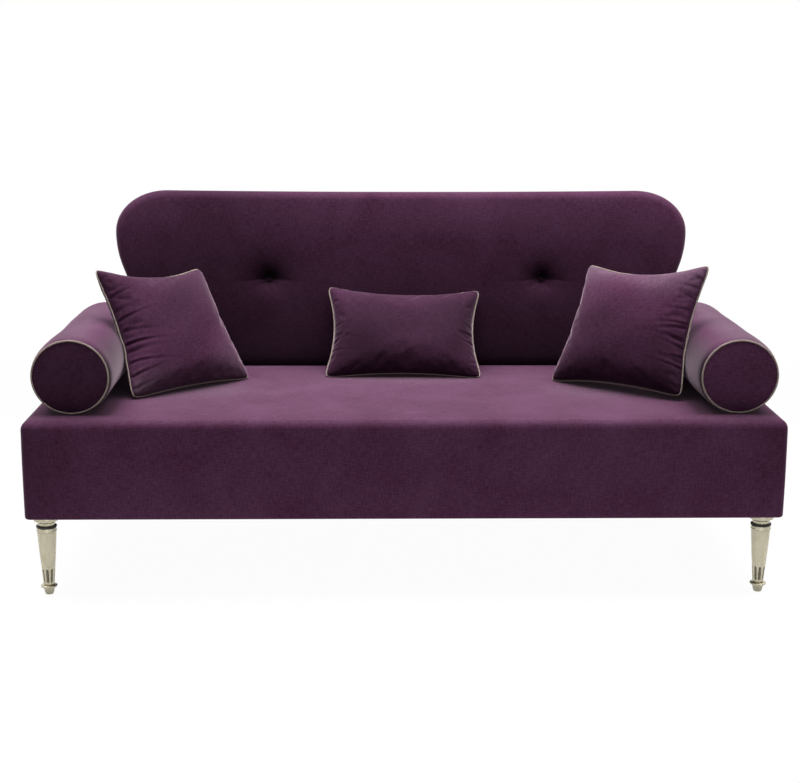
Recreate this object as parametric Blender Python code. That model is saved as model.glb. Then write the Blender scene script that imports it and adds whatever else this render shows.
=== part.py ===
"""Upholstered sofa with a slim rounded back, two bolsters and three piped cushions.

Metres, +Z up. The sofa faces -Y, and the origin is on the floor below the middle of the whole sofa.
"""
import math

import bmesh
import bpy
import numpy as np
from mathutils import Matrix, Vector

for old in list(bpy.data.objects):
    bpy.data.objects.remove(old, do_unlink=True)

# Sizes that set the whole sofa
WIDTH = 1.850
SEATING_DEPTH = 0.660
SEAT_HEIGHT = 0.450
LEG_HEIGHT = 0.200
BACK_LENGTH = 0.490
RECLINE = math.radians(9.0)

# Allowances that every piece shares
GAP = 0.0003
OVERRUN = 0.010
VELVET = 0.002
FILLING_EASE = 0.0008
PIPING_EASE = 0.0008
CUSHION_PIPING_EASE = 0.0012

# Seat box: cover, padding and foam
SEAT_EDGE_RADIUS = 0.024
SEAT_CORNER_RADIUS = 0.016
SEAT_FOOT_RADIUS = 0.003
SEAT_MITRE_RADIUS = 0.003
SEAT_CROWN = 0.003
SEAT_CROWN_RUN = 0.070
HEM_WIDTH = 0.034
DUST_CLOTH = 0.001
DUST_INSET = 0.010
WADDING = 0.010
FOAM_DEPTH = 0.104
DECK_CLOTH = 0.0015

# Seat frame of hardwood boards
RAIL = 0.022
CROSS_RAIL = 0.025
CROSS_RAIL_X = 0.400
CROSS_RAIL_DROP = 0.030
BLOCK_SIDE = 0.075
BLOCK_HEIGHT = 0.042

# Zigzag seat springs and their clips
SPRING_WIRE = 0.0036
SPRING_PITCH = 0.200
SPRINGS_EACH_SIDE = 4
SPRING_LOOPS = 8
SPRING_HALF_WIDTH = 0.024
CLIP_WIDTH = 0.020
CLIP_LENGTH = 0.018
CLIP_HEIGHT = 0.006
CLIP_GRIP = 0.010
TIE_WIRE = 0.0026

# Back panel, measured along its own lean
BACK_END_INSET = 0.115
BACK_TOP_RADIUS = 0.122
BACK_SIDE_RADIUS = 0.190
BACK_SIDE_FLARE = math.radians(21.0)
BACK_FOAM = 0.070
BACK_FRONT_RADIUS = 0.030
BACK_REAR_RADIUS = 0.016
BACK_CROWN = 0.006
BACK_CROWN_RUN = 0.060
BACK_BORDER = 0.012
BACK_TAIL = 0.080
REAR_PANEL_INSET = 0.022
PLY = 0.018
PLY_WIDTH = 0.065
STRAP = 0.002
WEBBING = 0.003
WEBBING_WIDTH = 0.050
WEBBING_BANDS = 4
POST_WIDTH = 0.060
POST_DEPTH = 0.028
POST_X = 0.580
POST_TAIL = 0.075
POST_SLOT = 0.001
POST_BOLT = 0.008
POST_BOLT_SPACING = 0.044
POST_PLATE = 0.003
POST_PLATE_WIDTH = 0.030
POST_PLATE_HEIGHT = 0.070

# Buttoned tufts in the back
TUFT_LEFT_X = -0.370
TUFT_RIGHT_X = 0.397
TUFT_HEIGHT = 0.241
TUFT_DEPTH = 0.020
TUFT_RADIUS = 0.050
BUTTON = 0.015
BUTTON_DEPTH = 0.006
TWINE = 0.0022
TWINE_HOLE = 0.0032
ANCHOR = 0.026
ANCHOR_DEPTH = 0.003

# Legs
LEG_INSET = 0.045
PLATE = 0.060
PLATE_RIM = 0.007
RING = 0.0505
RING_DEPTH = 0.004
PLATE_DEPTH = 0.0231
PLATE_NECK = 0.040
LEG_TOP = 0.049
LEG_MIDDLE = 0.033
LEG_BOTTOM = 0.027
BEAD = 0.0015
BEAD_DROP = 0.0080
FLUTE_TOP = 0.0665
FLUTE_BOTTOM = 0.0300
FLUTES = 8
FLUTE_WIDTH = 0.0070
FLUTE_DEPTH = 0.0022
COLLAR = 0.040
COLLAR_HEIGHT = 0.0235
FOOT = 0.024
GLIDE = 0.020
GLIDE_DEPTH = 0.0030
LEG_STUD = 0.008
LEG_STUD_BITE = 0.024

# Bolsters
BOLSTER_LENGTH = 0.600
BOLSTER_WIDTH = 0.197
BOLSTER_HEIGHT = 0.190
BOLSTER_FRONT_INSET = 0.048
BOLSTER_LEFT_INSET = 0.112
BOLSTER_RIGHT_INSET = 0.106
BOLSTER_SEAM_DROP = 0.006
BOLSTER_SHOULDER = 0.034
BOLSTER_DISC_CROWN = 0.007
BOLSTER_FLAT = 0.002
BOLSTER_ZIP = 0.400
BOLSTER_ZIP_WIDTH = 0.004
PIPING = 0.0052

# Cushions: finished size between the corners
SIDE_CUSHION_HEIGHT = 0.350
LEFT_CUSHION_WIDTH = 0.368
RIGHT_CUSHION_WIDTH = 0.384
LUMBAR_WIDTH = 0.416
LUMBAR_HEIGHT = 0.283
SIDE_CUSHION_DEPTH = 0.130
LUMBAR_DEPTH = 0.115
SEAM_ALLOWANCE = 0.010
CUSHION_ZIP_WIDTH = 0.0024
LEFT_CUSHION_INSET = 0.327
LEFT_CUSHION_Y = 0.421
RIGHT_CUSHION_INSET = 0.332
RIGHT_CUSHION_Y = 0.384
LUMBAR_X = 0.010
LUMBAR_Y = 0.587
LEFT_CUSHION_TWIST = -0.016
RIGHT_CUSHION_TWIST = 0.013
LUMBAR_TWIST = -0.004
LEFT_CUSHION_TURN = math.radians(49.0)
LEFT_CUSHION_LEAN = math.radians(-32.0)
LEFT_CUSHION_ROLL = math.radians(3.5)
RIGHT_CUSHION_TURN = math.radians(-46.0)
RIGHT_CUSHION_LEAN = math.radians(-28.0)
RIGHT_CUSHION_ROLL = math.radians(-2.5)
LUMBAR_TURN = math.radians(-0.5)
LUMBAR_LEAN = math.radians(-40.3)
LUMBAR_ROLL = math.radians(0.9)

# Heights and depths that follow from the sizes above
BACK_HALF_WIDTH = WIDTH / 2 - BACK_END_INSET
BOLSTER_LEFT_X = BOLSTER_LEFT_INSET - WIDTH / 2
BOLSTER_RIGHT_X = WIDTH / 2 - BOLSTER_RIGHT_INSET
LEFT_CUSHION_X = LEFT_CUSHION_INSET - WIDTH / 2
RIGHT_CUSHION_X = WIDTH / 2 - RIGHT_CUSHION_INSET
HEM_Z = LEG_HEIGHT + DUST_CLOTH + GAP
RAIL_Z = HEM_Z + VELVET + GAP
FOAM_Z = SEAT_HEIGHT - VELVET - GAP - FOAM_DEPTH
DECK_Z = FOAM_Z - GAP - DECK_CLOTH
RAIL_TOP = DECK_Z - GAP - CLIP_HEIGHT - GAP
BACK_LAYERS = VELVET + GAP + BACK_FOAM + GAP + WEBBING + GAP + PLY + GAP
POST_REAR = BACK_LAYERS + POST_DEPTH
BACK_DEPTH = POST_REAR + GAP + VELVET
SEAT_SKINS = VELVET + GAP + WADDING + GAP
POST_LEVEL_DEPTH = POST_DEPTH / math.cos(RECLINE)
POST_LEVEL_REAR = POST_REAR / math.cos(RECLINE)
BOX_DEPTH = SEATING_DEPTH + POST_LEVEL_REAR + GAP + RAIL + SEAT_SKINS
BACK_FOOT_Z = SEAT_HEIGHT + GAP

# The rearmost point is on the rounded rear edge of the back's top
TOP_REAR_CENTRE_Y = BACK_DEPTH - BACK_REAR_RADIUS
TOP_REAR_CENTRE_Z = BACK_LENGTH - BACK_REAR_RADIUS
WHOLE_DEPTH = (SEATING_DEPTH + TOP_REAR_CENTRE_Y * math.cos(RECLINE)
               + TOP_REAR_CENTRE_Z * math.sin(RECLINE) + BACK_REAR_RADIUS)
FRONT_Y = -WHOLE_DEPTH / 2
BOX_CENTRE_Y = FRONT_Y + BOX_DEPTH / 2
BACK_MATRIX = (Matrix.Translation((0, FRONT_Y + SEATING_DEPTH, SEAT_HEIGHT))
               @ Matrix.Rotation(-RECLINE, 4, "X"))


def material(name, colour, roughness, metallic=0.0):
    """A Principled material in one colour."""
    made = bpy.data.materials.new(name)
    made.use_nodes = True
    shader = made.node_tree.nodes["Principled BSDF"]
    shader.inputs["Base Color"].default_value = (*colour, 1.0)
    shader.inputs["Roughness"].default_value = roughness
    shader.inputs["Metallic"].default_value = metallic
    made.diffuse_color = (*colour, 1.0)
    return made


def add(name, bm, finish, parent=None, matrix=None, smooth=True):
    """Turn a bmesh into a named object with its faces pointing out."""
    if bm.calc_volume(signed=True) < 0:
        bmesh.ops.reverse_faces(bm, faces=bm.faces)
    mesh = bpy.data.meshes.new(name)
    bm.to_mesh(mesh)
    bm.free()
    if smooth:
        mesh.shade_smooth()
        mesh.set_sharp_from_angle(angle=math.radians(35))
    if finish:
        mesh.materials.append(finish)
    made = bpy.data.objects.new(name, mesh)
    bpy.context.scene.collection.objects.link(made)
    if matrix is not None:
        made.matrix_world = matrix
    if parent is not None:
        made.parent = parent
    return made


def cut(target, cutter, operation="DIFFERENCE"):
    """Cut, keep or join the shape of another object with an exact Boolean."""
    step = target.modifiers.new(operation.lower(), "BOOLEAN")
    step.operation = operation
    step.solver = "EXACT"
    step.object = cutter
    cutter.hide_render = True
    cutter.display_type = "WIRE"


def loft(bm, rings, cap=True):
    """Join rings of equally many points by quads, and close both ends."""
    made = [[bm.verts.new(point) for point in ring] for ring in rings]
    for low, high in zip(made, made[1:]):
        count = len(low)
        for i in range(count):
            j = (i + 1) % count
            bm.faces.new((low[i], low[j], high[j], high[i]))
    if cap:
        bm.faces.new(made[0][::-1])
        bm.faces.new(made[-1])
    return made


def brick(bm, low, high):
    """An upright box between two corners."""
    (x0, y0, z0), (x1, y1, z1) = low, high
    ring = [(x0, y0), (x1, y0), (x1, y1), (x0, y1)]
    loft(bm, [[(x, y, z) for x, y in ring] for z in (z0, z1)])


def board(name, low, high, finish, matrix=None):
    """A flat-sided piece between two corners."""
    bm = bmesh.new()
    brick(bm, low, high)
    return add(name, bm, finish, matrix=matrix, smooth=False)


def turned(bm, profile, centre, sides, axis="Z"):
    """A solid turned from (radius, height) points; the first and last lie on the axis."""
    angles = [math.tau * i / sides for i in range(sides)]

    def place(radius, height, angle):
        across, along = radius * math.cos(angle), radius * math.sin(angle)
        local = (across, along, height) if axis == "Z" else (across, height, along)
        return Vector(centre) + Vector(local)

    rings = [[bm.verts.new(place(r, h, a)) for a in angles] for r, h in profile[1:-1]]
    for low, high in zip(rings, rings[1:]):
        for i in range(sides):
            j = (i + 1) % sides
            bm.faces.new((low[i], low[j], high[j], high[i]))
    for pole_point, ring in ((profile[0], rings[0][::-1]), (profile[-1], rings[-1])):
        pole = bm.verts.new(place(0, pole_point[1], 0))
        for i in range(sides):
            bm.faces.new((ring[i], ring[(i + 1) % sides], pole))


def pipe(bm, centre, outer, inner, low, high, sides, axis="Z"):
    """A round washer or sleeve with a clear bore."""
    angles = [math.tau * i / sides for i in range(sides)]
    rings = []
    for radius, height in ((inner, low), (outer, low), (outer, high), (inner, high)):
        local = [(radius * math.cos(a), radius * math.sin(a), height) for a in angles]
        if axis == "Y":
            local = [(x, z, y) for x, y, z in local]
        rings.append([bm.verts.new(Vector(centre) + Vector(p)) for p in local])
    for low_ring, high_ring in zip(rings, rings[1:] + rings[:1]):
        for i in range(sides):
            j = (i + 1) % sides
            bm.faces.new((low_ring[i], low_ring[j], high_ring[j], high_ring[i]))


def tube(bm, points, radius, sides, closed=False, up=(0, 0, 1)):
    """A wire or cord of round section along a list of points."""
    path = np.array(points)
    following, leading = np.roll(path, -1, 0), np.roll(path, 1, 0)
    if not closed:
        following[-1], leading[0] = path[-1], path[0]
    along = following - leading
    along /= np.linalg.norm(along, axis=1)[:, None]
    across = np.cross(along, np.array(up, dtype=float))
    across /= np.linalg.norm(across, axis=1)[:, None]
    over = np.cross(across, along)
    rings = []
    for place, side, top in zip(path, across, over):
        angles = [math.tau * i / sides for i in range(sides)]
        rings.append([place + radius * (side * math.cos(a) + top * math.sin(a)) for a in angles])
    made = loft(bm, rings, cap=not closed)
    if closed:
        for i in range(sides):
            j = (i + 1) % sides
            bm.faces.new((made[-1][i], made[-1][j], made[0][j], made[0][i]))


# Materials, in the colours of the photographed sofa
VELVET_COLOUR = (0.058, 0.022, 0.046)
velvet = material("plum_velvet", VELVET_COLOUR, 0.85)
cord_cloth = material("taupe_piping", (0.36, 0.30, 0.26), 0.80)
beech = material("beech_board", (0.55, 0.38, 0.22), 0.60)
plywood = material("birch_plywood", (0.62, 0.47, 0.30), 0.60)
foam = material("upholstery_foam", (0.80, 0.74, 0.52), 0.90)
wadding = material("polyester_wadding", (0.82, 0.82, 0.80), 0.95)
cloth = material("woven_lining", (0.035, 0.035, 0.038), 0.90)
hessian = material("hessian", (0.42, 0.31, 0.18), 0.90)
web = material("rubber_webbing", (0.16, 0.13, 0.11), 0.80)
wire = material("spring_steel", (0.30, 0.30, 0.31), 0.35, 1.0)
zinc = material("zinc_plated_steel", (0.60, 0.60, 0.58), 0.35, 1.0)
silver = material("champagne_cast_metal", (0.56, 0.52, 0.43), 0.35, 1.0)
black = material("black_collar", (0.012, 0.012, 0.013), 0.45)
twine = material("waxed_twine", (0.55, 0.47, 0.34), 0.80)


def plan_outline(inset, radius, steps=3):
    """The seat box seen from above, as a rounded rectangle taken in by inset."""
    half_x, half_y = WIDTH / 2 - inset, BOX_DEPTH / 2 - inset
    bend = max(radius - inset, SEAT_MITRE_RADIUS)
    points = []
    for corner, (sx, sy) in enumerate(((1, 1), (-1, 1), (-1, -1), (1, -1))):
        for i in range(steps + 1):
            angle = math.pi / 2 * (corner + i / steps)
            points.append((sx * (half_x - bend) + bend * math.cos(angle),
                           BOX_CENTRE_Y + sy * (half_y - bend) + bend * math.sin(angle)))
    return points


def seat_form(bm, inset, feet, edge_steps=4):
    """The seat box taken in by inset: feet lists its lowest (inset, height) points, its top edge is round."""
    top = SEAT_HEIGHT - inset
    bend = SEAT_EDGE_RADIUS - inset
    profile = list(feet)
    for i in range(edge_steps + 1):
        angle = math.pi / 2 * i / edge_steps
        profile.append((bend * (1 - math.cos(angle)), top - SEAT_CROWN - bend * (1 - math.sin(angle))))
    profile.append((SEAT_CROWN_RUN, top))
    rings = [[(x, y, z) for x, y in plan_outline(inset + d, SEAT_CORNER_RADIUS)] for d, z in profile]
    loft(bm, rings)


def post_box(bm, centre_x, margin, low, high):
    """The space of a back post below the seat's surface, with a margin all round."""
    rear = FRONT_Y + SEATING_DEPTH + POST_LEVEL_REAR + margin
    half = POST_WIDTH / 2 + margin
    brick(bm, (centre_x - half, rear - POST_LEVEL_DEPTH - 2 * margin, low), (centre_x + half, rear, high))


def post_slots(name, low, high):
    """A cutter for the three slots that the back posts pass through."""
    bm = bmesh.new()
    for x in (-POST_X, 0, POST_X):
        post_box(bm, x, POST_SLOT, low, high)
    return add(name, bm, None, smooth=False)


# Velvet cover of the seat box, open below inside its turned-under hem
bm = bmesh.new()
seat_form(bm, 0, [(SEAT_FOOT_RADIUS, HEM_Z), (0, HEM_Z + SEAT_FOOT_RADIUS)])
seat_cover = add("seat_cover", bm, velvet)
bm = bmesh.new()
seat_form(bm, VELVET, [(0, HEM_Z + VELVET)])
cut(seat_cover, add("seat_cover_inside", bm, None))
bm = bmesh.new()
opening_x, opening_y = WIDTH / 2 - HEM_WIDTH, BOX_DEPTH / 2 - HEM_WIDTH
brick(bm, (-opening_x, BOX_CENTRE_Y - opening_y, HEM_Z - OVERRUN),
      (opening_x, BOX_CENTRE_Y + opening_y, HEM_Z + VELVET + OVERRUN))
cut(seat_cover, add("seat_cover_opening", bm, None))
cut(seat_cover, post_slots("seat_cover_slots", SEAT_HEIGHT - OVERRUN, SEAT_HEIGHT + OVERRUN))

# Foam slab under the top of the cover
bm = bmesh.new()
foam_inset = VELVET + GAP
seat_form(bm, foam_inset, [(0, FOAM_Z)])
seat_foam = add("seat_foam", bm, foam)
cut(seat_foam, post_slots("seat_foam_slots", FOAM_Z - OVERRUN, SEAT_HEIGHT + OVERRUN))

# Wadding strip wrapped round the frame under the foam
bm = bmesh.new()
rings = []
rail_inset = SEAT_SKINS
for inset, z in ((rail_inset - GAP, RAIL_Z), (foam_inset, RAIL_Z), (foam_inset, FOAM_Z - GAP),
                 (rail_inset - GAP, FOAM_Z - GAP)):
    rings.append([bm.verts.new((x, y, z)) for x, y in plan_outline(inset, SEAT_CORNER_RADIUS)])
for low_ring, high_ring in zip(rings, rings[1:] + rings[:1]):
    for i in range(len(low_ring)):
        j = (i + 1) % len(low_ring)
        bm.faces.new((low_ring[i], low_ring[j], high_ring[j], high_ring[i]))
add("border_wadding", bm, wadding)

# Frame of hardwood rails: the front and rear rails run through, the others fit between them
frame_x = WIDTH / 2 - rail_inset - SEAT_MITRE_RADIUS
frame_front = FRONT_Y + rail_inset
frame_rear = FRONT_Y + BOX_DEPTH - rail_inset
inner_front = frame_front + RAIL + GAP
inner_rear = frame_rear - RAIL - GAP
board("frame_front_rail", (-frame_x, frame_front, RAIL_Z), (frame_x, frame_front + RAIL, RAIL_TOP), beech)
rear_rail = board("frame_rear_rail", (-frame_x, frame_rear - RAIL, RAIL_Z), (frame_x, frame_rear, RAIL_TOP),
                  beech)
for side, sign in (("left", -1), ("right", 1)):
    middle = sign * CROSS_RAIL_X
    board(f"frame_cross_rail_{side}", (middle - CROSS_RAIL / 2, inner_front, RAIL_Z),
          (middle + CROSS_RAIL / 2, inner_rear, RAIL_TOP - CROSS_RAIL_DROP), beech)

# End rails, each with two glued corner blocks that take the studs of the legs
LEG_X = WIDTH / 2 - LEG_INSET
LEG_PLACES = {
    "front_left": (-LEG_X, FRONT_Y + LEG_INSET),
    "front_right": (LEG_X, FRONT_Y + LEG_INSET),
    "rear_left": (-LEG_X, FRONT_Y + BOX_DEPTH - LEG_INSET),
    "rear_right": (LEG_X, FRONT_Y + BOX_DEPTH - LEG_INSET),
}
bore = LEG_STUD / 2 + GAP
for side, sign in (("left", -1), ("right", 1)):
    xs = sorted((sign * frame_x, sign * (frame_x - RAIL)))
    rail = board(f"frame_end_rail_{side}", (xs[0], inner_front, RAIL_Z), (xs[1], inner_rear, RAIL_TOP), beech)
    blocks, bores = bmesh.new(), bmesh.new()
    for end in ("front", "rear"):
        x, y = LEG_PLACES[f"{end}_{side}"]
        near_y = inner_front if end == "front" else inner_rear
        far_y = near_y + math.copysign(BLOCK_SIDE, BOX_CENTRE_Y - y)
        block_xs = sorted((sign * (frame_x - RAIL / 2), sign * (frame_x - RAIL - BLOCK_SIDE)))
        block_ys = sorted((near_y, far_y))
        brick(blocks, (block_xs[0], block_ys[0], RAIL_Z), (block_xs[1], block_ys[1], RAIL_Z + BLOCK_HEIGHT))
        turned(bores, [(0, RAIL_Z - OVERRUN), (bore, RAIL_Z - OVERRUN),
                       (bore, RAIL_Z + BLOCK_HEIGHT + OVERRUN), (0, RAIL_Z + BLOCK_HEIGHT + OVERRUN)],
               (x, y, 0), 12)
    cut(rail, add(f"corner_blocks_{side}", blocks, None, smooth=False), "UNION")
    cut(rail, add(f"corner_block_bores_{side}", bores, None))

# Zigzag springs from the front rail to the rear rail, gripped by clips and tied across by wires
spring_z = RAIL_TOP + GAP + CLIP_HEIGHT / 2
spring_front = frame_front + RAIL / 2 + CLIP_LENGTH / 2
spring_rear = frame_rear - RAIL / 2 - CLIP_LENGTH / 2
SPRING_WAVE_SHARES = (0.0, 1.0, 0.0, -1.0)
springs, grips = bmesh.new(), bmesh.new()
spring_points = 4 * SPRING_LOOPS
wave_start = spring_front - CLIP_GRIP
wave_run = spring_rear + CLIP_GRIP - wave_start
for number in range(2 * SPRINGS_EACH_SIDE):
    x = (number - SPRINGS_EACH_SIDE + 0.5) * SPRING_PITCH
    path = []
    for i in range(spring_points + 1):
        wave = SPRING_WAVE_SHARES[i % len(SPRING_WAVE_SHARES)]
        path.append((x + wave * SPRING_HALF_WIDTH, wave_start + wave_run * i / spring_points, spring_z))
    tube(springs, path, SPRING_WIRE / 2, 3)
    for y in (spring_front - CLIP_LENGTH, spring_rear):
        brick(grips, (x - CLIP_WIDTH / 2, y, RAIL_TOP + GAP),
              (x + CLIP_WIDTH / 2, y + CLIP_LENGTH, RAIL_TOP + GAP + CLIP_HEIGHT))
tie_z = spring_z - SPRING_WIRE / 2
TIE_PLACE_SHARES = (0.30, 0.62)
for share in TIE_PLACE_SHARES:
    y = spring_front + (spring_rear - spring_front) * share
    reach = (SPRINGS_EACH_SIDE - 0.5) * SPRING_PITCH + SPRING_HALF_WIDTH
    tube(grips, [(-reach, y, tie_z), (0, y, tie_z), (reach, y, tie_z)], TIE_WIRE / 2, 4)
spring_unit = add("seat_springs", springs, wire)
cut(spring_unit, add("spring_clips_and_ties", grips, None, smooth=False), "UNION")

# Hessian deck over the springs, and the dust cloth below the frame
bm = bmesh.new()
loft(bm, [[(x, y, z) for x, y in plan_outline(rail_inset, SEAT_CORNER_RADIUS)]
          for z in (DECK_Z, DECK_Z + DECK_CLOTH)])
deck = add("deck_cloth", bm, hessian)
cut(deck, post_slots("deck_cloth_slots", DECK_Z - OVERRUN, DECK_Z + OVERRUN))
bm = bmesh.new()
loft(bm, [[(x, y, z) for x, y in plan_outline(DUST_INSET, SEAT_CORNER_RADIUS)]
          for z in (LEG_HEIGHT, LEG_HEIGHT + DUST_CLOTH)])
dust = add("dust_cloth", bm, cloth)
bm = bmesh.new()
for x, y in LEG_PLACES.values():
    turned(bm, [(0, LEG_HEIGHT - OVERRUN), (bore, LEG_HEIGHT - OVERRUN),
                (bore, LEG_HEIGHT + OVERRUN), (0, LEG_HEIGHT + OVERRUN)], (x, y, 0), 12)
cut(dust, add("dust_cloth_holes", bm, None))


def back_outline(inset):
    """The back seen from the front: two flared sides, rounded shoulders and a straight top."""
    wide_z = BACK_LENGTH - BACK_TOP_RADIUS
    side_x = BACK_HALF_WIDTH - BACK_SIDE_RADIUS
    top_x = BACK_HALF_WIDTH - BACK_TOP_RADIUS
    half, flare_steps, shoulder_steps = [], 3, 7
    for i in range(flare_steps + 1):
        angle = -BACK_SIDE_FLARE * (1 - i / flare_steps)
        half.append((side_x + (BACK_SIDE_RADIUS - inset) * math.cos(angle),
                     wide_z + (BACK_SIDE_RADIUS - inset) * math.sin(angle)))
    for i in range(1, shoulder_steps + 1):
        angle = math.pi / 2 * i / shoulder_steps
        half.append((top_x + (BACK_TOP_RADIUS - inset) * math.cos(angle),
                     wide_z + (BACK_TOP_RADIUS - inset) * math.sin(angle)))
    start_x, start_z = half[0]
    foot_z = inset - BACK_TAIL
    half.insert(0, (start_x - (start_z - foot_z) * math.tan(BACK_SIDE_FLARE), foot_z))
    return half + [(-x, z) for x, z in reversed(half)]


def back_half_width(z, inset):
    """Half the back's width at a height on its flared side, taken in by inset."""
    start_x, start_z = back_outline(inset)[1]
    return start_x - (start_z - z) * math.tan(BACK_SIDE_FLARE)


def back_front(inset, steps=3):
    """The crowned front face and its round edge, as (inset, depth) points from the middle outwards."""
    bend = BACK_FRONT_RADIUS - inset
    profile = [(BACK_CROWN_RUN, inset)]
    for i in range(steps + 1):
        angle = math.pi / 2 * i / steps
        profile.append((bend * (1 - math.sin(angle)), inset + BACK_CROWN + bend * (1 - math.cos(angle))))
    return profile


def back_form(bm, inset, steps=2):
    """The back as a solid taken in by inset, with a smaller round edge at the rear."""
    bend = BACK_REAR_RADIUS - inset
    profile = back_front(inset)
    for i in range(steps + 1):
        angle = math.pi / 2 * i / steps
        profile.append((bend * (1 - math.cos(angle)), BACK_DEPTH - inset - bend * (1 - math.sin(angle))))
    loft(bm, [[(x, y, z) for x, z in back_outline(inset + d)] for d, y in profile])


def back_piece(name, bm, finish, smooth=True):
    """An object placed in the leaning frame of the back."""
    return add(name, bm, finish, matrix=BACK_MATRIX, smooth=smooth)


def below_back(name, height):
    """A cutter that takes off the back's tail below a level height."""
    bm = bmesh.new()
    brick(bm, (-WIDTH / 2, FRONT_Y, height - BACK_LENGTH), (WIDTH / 2, WHOLE_DEPTH, height))
    return add(name, bm, None, smooth=False)


def post_profile():
    """A post seen from the side: upright in the seat, leaning in the back."""
    rake = math.tan(RECLINE)
    rear = FRONT_Y + SEATING_DEPTH + POST_LEVEL_REAR
    front = rear - POST_LEVEL_DEPTH
    low = RAIL_TOP - POST_TAIL
    high = SEAT_HEIGHT + (BACK_LENGTH - BACK_BORDER - PLY_WIDTH / 2) * math.cos(RECLINE)
    rise = high - SEAT_HEIGHT
    return [(front, low), (rear, low), (rear, SEAT_HEIGHT), (rear + rise * rake, high),
            (front + rise * rake, high), (front, SEAT_HEIGHT)]


# Velvet cover of the back: a wrapped shell whose rear panel is a separate piece
bm = bmesh.new()
back_form(bm, 0)
back_cover = back_piece("back_cover", bm, velvet)
bm = bmesh.new()
back_form(bm, VELVET)
back_inside = back_piece("back_cover_inside", bm, None)
cut(back_cover, below_back("back_cover_foot", BACK_FOOT_Z))


def tuft_cutter(name, skin):
    """The dimples of the buttoned tufts: their depth falls away from the button as a raised cosine."""
    bm = bmesh.new()
    steps, sides = 4, 12
    for x in (TUFT_LEFT_X, TUFT_RIGHT_X):
        depth = TUFT_DEPTH + skin
        flat = BUTTON / 2 + GAP + skin
        rim = skin - TUFT_DEPTH * 0.02
        profile = [(0, depth), (flat, depth)]
        for i in range(1, steps + 1):
            share = i / steps
            fall = (0.5 + 0.5 * math.cos(math.pi * share)) ** 1.6
            profile.append((flat + (TUFT_RADIUS + skin - flat) * share, rim + (depth - rim) * fall))
        profile.append((0, skin - OVERRUN))
        turned(bm, profile, (x, 0, TUFT_HEIGHT), sides, axis="Y")
    return back_piece(name, bm, None)


def twine_holes(name, low, high):
    """Cutters for the holes that the tuft twine passes through."""
    bm = bmesh.new()
    hole = TWINE_HOLE / 2
    for x in (TUFT_LEFT_X, TUFT_RIGHT_X):
        turned(bm, [(0, low), (hole, low), (hole, high), (0, high)], (x, 0, TUFT_HEIGHT), 8, axis="Y")
    return back_piece(name, bm, None)


cut(back_cover, tuft_cutter("back_cover_tufts", 0))
cut(back_inside, below_back("back_inside_foot", BACK_FOOT_Z + VELVET))
cut(back_inside, tuft_cutter("back_inside_tufts", VELVET))
cut(back_cover, back_inside)
cut(back_cover, twine_holes("back_cover_twine_holes", 0, TUFT_DEPTH + VELVET + OVERRUN))
bm = bmesh.new()
loft(bm, [[(x, y, z) for x, z in back_outline(REAR_PANEL_INSET)]
          for y in (BACK_DEPTH - VELVET - OVERRUN, BACK_DEPTH + OVERRUN)])
cut(back_cover, back_piece("back_cover_window", bm, None))


cut(back_cover, post_slots("back_cover_slots", SEAT_HEIGHT - OVERRUN, SEAT_HEIGHT + OVERRUN / 2))

# Rear panel, slipped into the window of the cover and sewn round its edge
bm = bmesh.new()
loft(bm, [[(x, y, z) for x, z in back_outline(REAR_PANEL_INSET + GAP)]
          for y in (BACK_DEPTH - VELVET, BACK_DEPTH)])
outside = back_piece("outside_back", bm, velvet)
cut(outside, below_back("outside_back_foot", BACK_FOOT_Z + VELVET + GAP))

# Foam in front of the webbing, cut to the same rounded shape
bm = bmesh.new()
skin = VELVET + GAP
foam_rear = skin + BACK_FOAM
loft(bm, [[(x, y, z) for x, z in back_outline(skin + d)] for d, y in back_front(skin) + [(0, foam_rear)]])
back_foam = back_piece("back_foam", bm, foam)
cut(back_foam, below_back("back_foam_foot", BACK_FOOT_Z + VELVET + GAP))
cut(back_foam, tuft_cutter("back_foam_tufts", skin))
cut(back_foam, twine_holes("back_foam_twine_holes", 0, foam_rear + OVERRUN))

# Rubber webbing: bands across and bands up, tacked together where they cross
band_y = foam_rear + GAP
band_step = WEBBING_WIDTH * 1.9
across, upright = bmesh.new(), bmesh.new()
for number in range(WEBBING_BANDS):
    z = TUFT_HEIGHT + (number - WEBBING_BANDS // 2 + 1) * band_step
    reach = back_half_width(min(z, TUFT_HEIGHT) - WEBBING_WIDTH / 2, BACK_BORDER) - OVERRUN
    brick(across, (-reach, band_y, z - WEBBING_WIDTH / 2), (reach, band_y + STRAP, z + WEBBING_WIDTH / 2))
for x in (TUFT_LEFT_X, 0, TUFT_RIGHT_X):
    brick(upright, (x - WEBBING_WIDTH / 2, band_y + WEBBING - STRAP, BACK_BORDER + OVERRUN),
          (x + WEBBING_WIDTH / 2, band_y + WEBBING, BACK_LENGTH - BACK_BORDER - OVERRUN))
webbing = back_piece("back_webbing", across, web, smooth=False)
cut(webbing, back_piece("back_webbing_upright", upright, None, smooth=False), "UNION")
cut(webbing, twine_holes("webbing_holes", band_y - OVERRUN, band_y + WEBBING + OVERRUN))
cut(webbing, below_back("webbing_foot", BACK_FOOT_Z + BACK_BORDER))

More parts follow.
